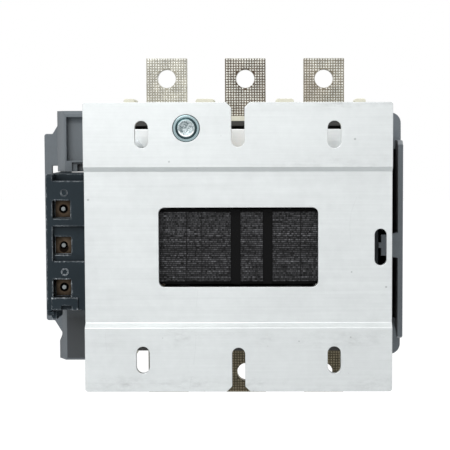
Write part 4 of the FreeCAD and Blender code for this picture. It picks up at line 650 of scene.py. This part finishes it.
def screw_rings(tree):
    """Mask of painted shade in rings round the three clamp screws, where their sunk holes lie."""
    low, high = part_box("clamp_screws")
    parts = spot_parts(tree)
    pitch = (high.z - low.z - (high.x - low.x)) / 2
    turn = calc(tree, "DIVIDE", calc(tree, "SUBTRACT", parts[2], (low.z + high.z) / 2), pitch)
    along = calc(tree, "MULTIPLY", calc(tree, "SUBTRACT", turn, calc(tree, "ROUND", turn)), pitch)
    across = calc(tree, "SUBTRACT", parts[0], (low.x + high.x) / 2)
    return remap(tree, slope(tree, along, across), CLAMP_RING * 1.1 * MM, CLAMP_RING * 0.9 * MM)


def worn_metal_material(name, rgb, rough=0.4, stain=(0.10, 0.05, 0.03), amount=0.4, hollow=None):
    """Bare copper, brass or silver with stains, and where a reach is given, painted shade in its hollows and
    round its screws.
    """
    material, tree, shader = empty_material(name, 1.0)
    cloud = noise(tree, place(tree), 150.0, 5.0, 0.7)
    fine = noise(tree, place(tree, (1.0, 1.0, 0.05)), 1500.0, 2.0, 0.6)
    tone = blend_colours(tree, fine, shifted(rgb, 0.85), shifted(rgb, 1.1))
    tone = blend_colours(tree, calc(tree, "MULTIPLY", remap(tree, cloud, 0.5, 0.75), amount), tone, stain)
    # Painted shade in the hollows and in a ring round each screw
    if hollow:
        closed = put(tree, "AmbientOcclusion", {"Distance": hollow}, samples=8).outputs["AO"]
        dark = calc(tree, "MAXIMUM", remap(tree, closed, 0.25, 0.95, 0.98, 0.0), screw_rings(tree))
        tone = blend_colours(tree, dark, tone, shifted(stain, 0.2))
    roughness = remap(tree, cloud, 0.3, 0.7, rough - 0.08, rough + 0.15)
    finish_material(tree, shader, tone, roughness, fine, 0.2, 0.00003)
    return material


def finish_named(name):
    """One of the part's finishes, built the first time that it is asked for."""
    if name not in MATERIALS:
        metals, mouldings = settings("metals"), settings("mouldings")
        makers = {
            "sheet": lambda: sheet_material("bare sheet", metals.plate, dirt=PLATE_DIRT),
            # Painted light: the magnet frame's sheet is half again as bright as the plate, for light that the
            # plate shuts off
            "inner sheet": lambda: sheet_material("inner sheet", shifted(metals.plate, 1.5), 0.32, bump=0.05),
            "zinc": lambda: plated_material("zinc plating", metals.zinc),
            "splitter": lambda: plated_material("pickled steel", (0.30, 0.29, 0.28), 0.5, 0.6),
            "spring": lambda: plated_material("spring wire", (0.42, 0.42, 0.43), 0.3, 0.5),
            "line_1": lambda: bar_material("tinned bar left", metals.tin, (0.42, 0.40, 0.34), 0.05),
            "line_2": lambda: bar_material("tinned bar middle", metals.tin, metals.tarnish, 0.2),
            "line_3": lambda: bar_material("tinned bar right", metals.tin, (0.26, 0.23, 0.18), 0.25),
            # Painted shade: the lower bars are darker than their tarnish alone, for the shade behind the
            # mounting plate
            "load": lambda: bar_material("tarnished bar", metals.load, shifted(metals.load, 0.4), 0.1),
            "stud": lambda: stud_material("earth stud"),
            "leaves": lambda: leaves_material("magnet leaves", metals.core),
            "key": lambda: moulded_material("varnished key", shifted(metals.core, 0.2), 0.6, 0.05,
                                            specular=0.06),
            "copper": lambda: worn_metal_material("bare copper", metals.copper),
            "silver": lambda: worn_metal_material("contact silver", metals.silver, 0.35,
                                                  (0.2, 0.18, 0.16), 0.5),
            # The clamp plates get painted shade in their cells and round their screws
            "clamp": lambda: worn_metal_material("clamp brass", metals.clamp, 0.45,
                                                 (0.05, 0.035, 0.025), 0.85, 0.006),
            # The clamp screw tips get strong painted shade in their hollows
            "tip": lambda: plated_material("clamp screw", (0.26, 0.28, 0.28), 0.25, 0.9),
            "burnished": lambda: plated_material("burnished steel", (0.035, 0.035, 0.037), 0.55, 0.6),
            "grey": lambda: moulded_material("grey moulding", mouldings.grey),
            # The grey case gets painted shade at its lower end
            "grey case": lambda: moulded_material("grey case moulding", mouldings.grey, foot=(-46.0, -36.0)),
            # The grey guard gets painted shade on its walls that face left
            "grey guard": lambda: moulded_material("grey guard moulding", mouldings.grey, inside=True),
            "block": lambda: moulded_material("terminal block moulding", mouldings.block, 0.5, 1.0,
                                              (0.75, 0.80, 0.84), 0.4, 1.4, specular=0.12),
            "dark": lambda: moulded_material("dark moulding", mouldings.dark, 0.5, 0.35),
            "cream": lambda: moulded_material("cream moulding", mouldings.cream, 0.45, 0.3,
                                              (0.88, 0.84, 0.70), 0.15),
            "black": lambda: moulded_material("black moulding", mouldings.black, 0.4, 0.3),
            "rubber": lambda: moulded_material("rubber", (0.02, 0.02, 0.02), 0.8, 0.1),
            "red": lambda: moulded_material("indicator", mouldings.red, 0.3, 0.2, coat=0.4),
            "tape": lambda: wrapped_material("coil tape", mouldings.tape),
        }
        MATERIALS[name] = makers[name]()
    return MATERIALS[name]


class CONTACTOR_OT_plate(bpy.types.Operator):
    """Mounting plate and magnet frame with soft sheet edges"""
    bl_idname = "contactor.plate"
    bl_label = "Mounting plate"

    def execute(self, context):
        radius = settings("metals").sheet_edge
        for node, finish in (("mounting_plate", "sheet"), ("magnet_frame", "inner sheet")):
            softened(node, BASE, finish_named(finish), radius)
        return {"FINISHED"}


class CONTACTOR_OT_earth_stud(bpy.types.Operator):
    """Turned head of the earth stud, with its groove, its pitted middle and a painted highlight"""
    bl_idname = "contactor.earth_stud"
    bl_label = "Earth stud"

    def execute(self, context):
        low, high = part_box("earth_stud")
        axis_x, axis_z = (low.x + high.x) / 2, (low.z + high.z) / 2
        head = (high.x - low.x) / 2
        share = head / (STUD_HEAD * MM)
        bpy.ops.mesh.primitive_plane_add(size=MM)
        piece = context.object
        bpy.ops.object.mode_set(mode="EDIT")
        bpy.ops.mesh.delete(type="VERT")
        bpy.ops.object.mode_set(mode="OBJECT")
        piece.data.vertices.add(len(STUD_OUTLINE))
        for vertex, (r, y) in zip(piece.data.vertices, STUD_OUTLINE):
            vertex.co = (r * MM * share, low.y + y * MM, 0.0)
        piece.data.edges.add(len(STUD_OUTLINE) - 1)
        for number, edge in enumerate(piece.data.edges):
            edge.vertices = (number, number + 1)
        only(piece)
        bpy.ops.object.mode_set(mode="EDIT")
        bpy.ops.mesh.select_all(action="SELECT")
        bpy.ops.mesh.spin(steps=STUD_STEPS, angle=math.tau, center=(0, 0, 0), axis=(0, 1, 0))
        bpy.ops.mesh.select_all(action="SELECT")
        bpy.ops.mesh.remove_doubles(threshold=0.001 * MM)
        bpy.ops.mesh.normals_make_consistent(inside=False)
        bpy.ops.object.mode_set(mode="OBJECT")
        piece.location = (axis_x, 0.0, axis_z)
        settle(piece, "earth_stud_finished", BASE, finish_named("stud"), 25.0)
        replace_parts(piece, "earth_stud")
        return {"FINISHED"}


class CONTACTOR_OT_terminal_bars(bpy.types.Operator):
    """Six tinned bars with knurled backs"""
    bl_idname = "contactor.terminal_bars"
    bl_label = "Terminal bars"

    def execute(self, context):
        for kind in ("line", "load"):
            for number in POLES:
                self.make_bar("%s_terminal_%d" % (kind, number), number)
        return {"FINISHED"}

    def make_bar(self, node, number):
        """One bar: its own shape, softened, joined with the raised points."""
        knurl = settings("knurl")
        low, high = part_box(node)
        side = 1 if high.z > 0 else -1
        outer = max(abs(low.z), abs(high.z))
        middle_x = (low.x + high.x) / 2
        piece = merged_copy(node)
        bevel(piece, settings("metals").bar_edge)
        rows = int((outer - knurl.start) / knurl.pitch)
        spare = outer - knurl.start - (rows - 1) * knurl.pitch
        first = Vector((middle_x - (knurl.columns - 1) * knurl.pitch / 2, 0,
                        side * (knurl.start + spare / 2)))
        points = self.points(first, low.y, side, rows)
        self.clear_hole(points, first, Vector((middle_x, 0, side * knurl.hole_height)))
        deselect()
        points.select_set(True)
        piece.select_set(True)
        bpy.context.view_layer.objects.active = piece
        bpy.ops.object.join()
        finish = finish_named("line_%d" % number if side > 0 else "load")
        settle(piece, node + "_knurled", BASE, finish, 50.0, flat=True)
        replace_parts(piece, node)

    def points(self, first, back, side, rows):
        """Rows and columns of flat-topped points on the back of a bar."""
        knurl = settings("knurl")
        sink = 0.05 * MM
        deselect()
        bpy.ops.mesh.primitive_cone_add(
            vertices=4, radius1=knurl.foot * math.sqrt(2), radius2=knurl.top * math.sqrt(2),
            depth=knurl.height + sink, rotation=(math.pi / 2, math.pi / 4, 0),
            location=(first.x, back - (knurl.height - sink) / 2, first.z))
        points = bpy.context.object
        bpy.ops.object.transform_apply(location=True, rotation=True, scale=True)
        for count, offset in ((knurl.columns, (knurl.pitch, 0, 0)), (rows, (0, 0, side * knurl.pitch))):
            array = points.modifiers.new("points", "ARRAY")
            array.use_relative_offset = False
            array.use_constant_offset = True
            array.constant_offset_displace = offset
            array.count = count
        apply_modifiers(points)
        return points

    def clear_hole(self, points, first, hole):
        """Delete the points that would reach into the bolt hole."""
        knurl = settings("knurl")
        reach = knurl.hole_radius + knurl.foot * 0.9
        for vertex in points.data.vertices:
            x = first.x + round((vertex.co.x - first.x) / knurl.pitch) * knurl.pitch
            z = first.z + round((vertex.co.z - first.z) / knurl.pitch) * knurl.pitch
            vertex.select = math.hypot(x - hole.x, z - hole.z) < reach
        for part in (points.data.edges, points.data.polygons):
            for item in part:
                item.select = all(points.data.vertices[v].select for v in item.vertices)
        only(points)
        bpy.ops.object.mode_set(mode="EDIT")
        bpy.ops.mesh.delete(type="VERT")
        bpy.ops.object.mode_set(mode="OBJECT")


class CONTACTOR_OT_magnet(bpy.types.Operator):
    """Finishes of the core, the armature and what holds them"""
    bl_idname = "contactor.magnet"
    bl_label = "Magnet"

    def execute(self, context):
        for node in ("fixed_core", "armature"):
            dress(node, finish_named("leaves"))
        for node in ("core_keys", "core_cheek_plates"):
            dress(node, finish_named("key"))
        for node in ("bracket_nuts", "armature_rivets", "armature_pin", "frame_columns", "earth_washer",
                     "earth_nut"):
            dress(node, finish_named("zinc"))
        for node in ("core_rivets", "core_pins"):
            dress(node, finish_named("burnished"))
        softened("core_brackets", BASE, finish_named("burnished"), 0.25 * MM)
        for node in ("core_pads", "pin_sleeves", "armature_pad"):
            dress(node, finish_named("rubber"))
        dress("shading_rings", finish_named("copper"))
        return {"FINISHED"}


class CONTACTOR_OT_coil(bpy.types.Operator):
    """Bobbin, wrapped winding and links"""
    bl_idname = "contactor.coil"
    bl_label = "Coil"

    def execute(self, context):
        softened("coil_bobbin", BASE, finish_named("black"), 0.3 * MM)
        dress("coil_winding", finish_named("tape"))
        dress("coil_links", finish_named("clamp"))
        return {"FINISHED"}


class CONTACTOR_OT_springs(bpy.types.Operator):
    """Round-wire return and contact springs that ride on the base and the carrier"""
    bl_idname = "contactor.springs"
    bl_label = "Springs"

    def execute(self, context):
        values = settings("springs")
        low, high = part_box("return_springs")
        finish = finish_named("spring")
        away = high.z - values.return_radius - values.return_wire
        coils = [self.coil(0.0, side * away, low.y, high.y, values.return_radius, values.return_wire,
                           values.return_turns) for side in (-1, 1)]
        deselect()
        for coil in coils:
            coil.select_set(True)
        context.view_layer.objects.active = coils[0]
        bpy.ops.object.join()
        piece = settle(context.object, "return_springs_wound", BASE, finish, 60.0)
        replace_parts(piece, "return_springs")
        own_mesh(piece)
        for number in POLES:
            node = "contact_spring_%d" % number
            low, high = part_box(node)
            middle = (low + high) / 2
            coil = self.coil(middle.x, 0.0, low.y, high.y, values.contact_radius, values.contact_wire,
                             values.contact_turns)
            piece = settle(coil, node + "_wound", CARRIER, finish, 60.0)
            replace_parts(piece, node)
            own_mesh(piece)
        return {"FINISHED"}

    def coil(self, x, z, y0, y1, radius, wire, turns):
        """A helix of round wire along Y, closed at both ends."""
        deselect()
        bpy.ops.mesh.primitive_circle_add(vertices=WIRE_SIDES, radius=wire, location=(radius, 0, 0))
        piece = bpy.context.object
        bpy.ops.object.transform_apply(location=True)
        wind = piece.modifiers.new("wind", "SCREW")
        wind.axis = "Y"
        wind.angle = math.tau * turns
        wind.screw_offset = y1 - y0 - 2 * END_WIRES * wire
        wind.steps = int(TURN_STEPS * turns)
        wind.render_steps = wind.steps
        wind.use_merge_vertices = False
        apply_modifiers(piece)
        bpy.ops.object.mode_set(mode="EDIT")
        bpy.ops.mesh.select_all(action="DESELECT")
        bpy.ops.mesh.select_non_manifold()
        bpy.ops.mesh.fill_holes(sides=0)
        bpy.ops.mesh.select_all(action="SELECT")
        bpy.ops.mesh.normals_make_consistent(inside=False)
        bpy.ops.object.mode_set(mode="OBJECT")
        piece.location = (x, y0 + END_WIRES * wire, z)
        return piece


class CONTACTOR_OT_housings(bpy.types.Operator):
    """Grey, dark and cream cases with rounded moulded edges"""
    bl_idname = "contactor.housings"
    bl_label = "Housings"

    def execute(self, context):
        edge = settings("mouldings").case_edge
        softened("left_side_housing", BASE, finish_named("grey case"), edge / 2)
        softened("left_front_housing", BASE, finish_named("grey"), edge)
        softened("right_side_housing", BASE, finish_named("grey guard"), edge)
        for node in ("main_housing", "arc_cover"):
            softened(node, BASE, finish_named("dark"), edge)
        softened("pole_base", BASE, finish_named("cream"), 0.3 * MM)
        return {"FINISHED"}


class CONTACTOR_OT_terminal_block(bpy.types.Operator):
    """Coil terminal block with worn edges, its clamps and screws"""
    bl_idname = "contactor.terminal_block"
    bl_label = "Coil terminals"

    def execute(self, context):
        edge = settings("mouldings").small_edge
        softened("terminal_block", BASE, finish_named("block"), edge)
        dress("clamp_plates", finish_named("clamp"))
        dress("clamp_screws", finish_named("tip"))
        return {"FINISHED"}


class CONTACTOR_OT_contacts(bpy.types.Operator):
    """Carrier, bridges, tips, splitter plates and screws"""
    bl_idname = "contactor.contacts"
    bl_label = "Contacts"

    def execute(self, context):
        softened("contact_carrier", CARRIER, finish_named("black"), 0.3 * MM)
        softened("position_indicator", CARRIER, finish_named("red"), 0.3 * MM)
        for number in POLES:
            dress("bridge_%d" % number, finish_named("copper"))
            dress("bridge_tips_%d" % number, finish_named("silver"))
        dress("fixed_tips", finish_named("silver"))
        dress("splitter_plates", finish_named("splitter"))
        for node in ("frame_screws", "housing_screws", "side_screws", "base_screws", "bar_screws",
                     "cover_screws"):
            dress(node, finish_named("zinc"))
        return {"FINISHED"}


class CONTACTOR_OT_stage(bpy.types.Operator):
    """Floor, lamps, white surroundings and the camera"""
    bl_idname = "contactor.stage"
    bl_label = "Stage"

    def execute(self, context):
        self.floor()
        self.surroundings()
        values = settings("stage")
        self.lamp("key_lamp", KEY_PLACE, KEY_SIZE, values.key)
        self.lamp("front_lamp", FRONT_PLACE, FRONT_SIZE, values.fill)
        self.camera()
        context.scene.view_settings.view_transform = "Standard"
        return {"FINISHED"}

    def floor(self):
        """A pale floor that the camera sees as white, with a soft shadow."""
        deselect()
        height = CAD_BOX[0][2] - settings("stage").drop
        bpy.ops.mesh.primitive_plane_add(size=FLOOR_SIZE, location=(0, 0, height))
        floor = bpy.context.object
        floor.name = "floor"
        material, tree, shader = empty_material("pale floor", 0.0)
        cloud = noise(tree, place(tree), 3.0, 3.0)
        base = blend_colours(tree, cloud, (0.86, 0.86, 0.86), (0.90, 0.90, 0.90))
        finish_material(tree, shader, base, 0.7)
        glow = put(tree, "Emission", {"Color": (1, 1, 1, 1), "Strength": FLOOR_GLOW})
        seen = calc(tree, "MULTIPLY", put(tree, "LightPath").outputs["Is Camera Ray"], FLOOR_SEEN)
        mix = put(tree, "MixShader", {0: seen, 1: shader.outputs[0], 2: glow.outputs[0]})
        tree.links.new(mix.outputs[0], tree.nodes["Material Output"].inputs["Surface"])
        floor.data.materials.append(material)

    def surroundings(self):
        """White all round for the camera and for reflections, and softer as light."""
        world = bpy.data.worlds.new("studio")
        world.use_nodes = True
        tree = world.node_tree
        tree.nodes.clear()
        path = put(tree, "LightPath").outputs
        seen = calc(tree, "MAXIMUM", calc(tree, "MAXIMUM", path["Is Camera Ray"], path["Is Glossy Ray"]),
                    path["Is Transmission Ray"])
        light = put(tree, "Background", {"Color": (0.96, 0.98, 1.0, 1), "Strength": settings("stage").sky})
        white = put(tree, "Background", {"Color": (1, 1, 1, 1), "Strength": 1.0})
        mix = put(tree, "MixShader", {0: seen, 1: light.outputs[0], 2: white.outputs[0]})
        output = put(tree, "OutputWorld")
        tree.links.new(mix.outputs[0], output.inputs["Surface"])
        bpy.context.scene.world = world

    def lamp(self, name, where, size, power):
        """A square soft lamp that points at the middle of the part."""
        bpy.ops.object.light_add(type="AREA", location=where)
        lamp = bpy.context.object
        lamp.name = name
        lamp.data.shape = "SQUARE"
        lamp.data.size = size
        lamp.data.energy = power
        aim = (Vector(CAD_BOX[0]) + Vector(CAD_BOX[1])) / 2
        lamp.rotation_euler = (aim - Vector(where)).to_track_quat("-Z", "Y").to_euler()

    def camera(self):
        """The camera at the photograph's viewing angle."""
        turn = (math.radians(90 + CAMERA_TILT), math.radians(CAMERA_ROLL), math.radians(CAMERA_TURN))
        bpy.ops.object.camera_add(location=CAMERA_PLACE, rotation=turn)
        camera = bpy.context.object
        camera.name = "photo_camera"
        camera.data.lens = CAMERA_LENS
        camera.data.sensor_width = CAMERA_SENSOR
        camera.data.shift_x, camera.data.shift_y = CAMERA_SHIFT
        camera.data.clip_start = 0.01
        bpy.context.scene.camera = camera


OPERATORS = (CONTACTOR_OT_plate, CONTACTOR_OT_earth_stud, CONTACTOR_OT_terminal_bars, CONTACTOR_OT_magnet,
             CONTACTOR_OT_coil, CONTACTOR_OT_springs, CONTACTOR_OT_housings, CONTACTOR_OT_terminal_block,
             CONTACTOR_OT_contacts, CONTACTOR_OT_stage)
GROUPS = {"metals": ContactorMetals, "mouldings": ContactorMouldings, "knurl": ContactorKnurl,
          "springs": ContactorSprings, "stage": ContactorStage}


class CONTACTOR_PT_panel(bpy.types.Panel):
    """Sizes, colours and steps of the contactor's looks"""
    bl_idname = "CONTACTOR_PT_panel"
    bl_label = "Contactor"
    bl_space_type = "VIEW_3D"
    bl_region_type = "UI"
    bl_category = "Contactor"

    def draw(self, context):
        for operator in OPERATORS:
            self.layout.operator(operator.bl_idname)
        for name, group in GROUPS.items():
            box = self.layout.box()
            box.label(text=name.capitalize())
            values = settings(name)
            for key in group.__annotations__:
                box.prop(values, key)


def register():
    """Add the classes and the scene's property groups."""
    for name, group in GROUPS.items():
        bpy.utils.register_class(group)
        setattr(bpy.types.Scene, "contactor_" + name, PointerProperty(type=group))
    for kind in (*OPERATORS, CONTACTOR_PT_panel):
        bpy.utils.register_class(kind)


def unregister():
    """Remove the classes and the scene's property groups."""
    for kind in reversed((*OPERATORS, CONTACTOR_PT_panel)):
        bpy.utils.unregister_class(kind)
    for name, group in GROUPS.items():
        delattr(bpy.types.Scene, "contactor_" + name)
        bpy.utils.unregister_class(group)


def main():
    """Run every step."""
    register()
    for operator in OPERATORS:
        step = operator.bl_idname.split(".")[1]
        getattr(bpy.ops.contactor, step)()


if __name__ == "__main__":
    main()
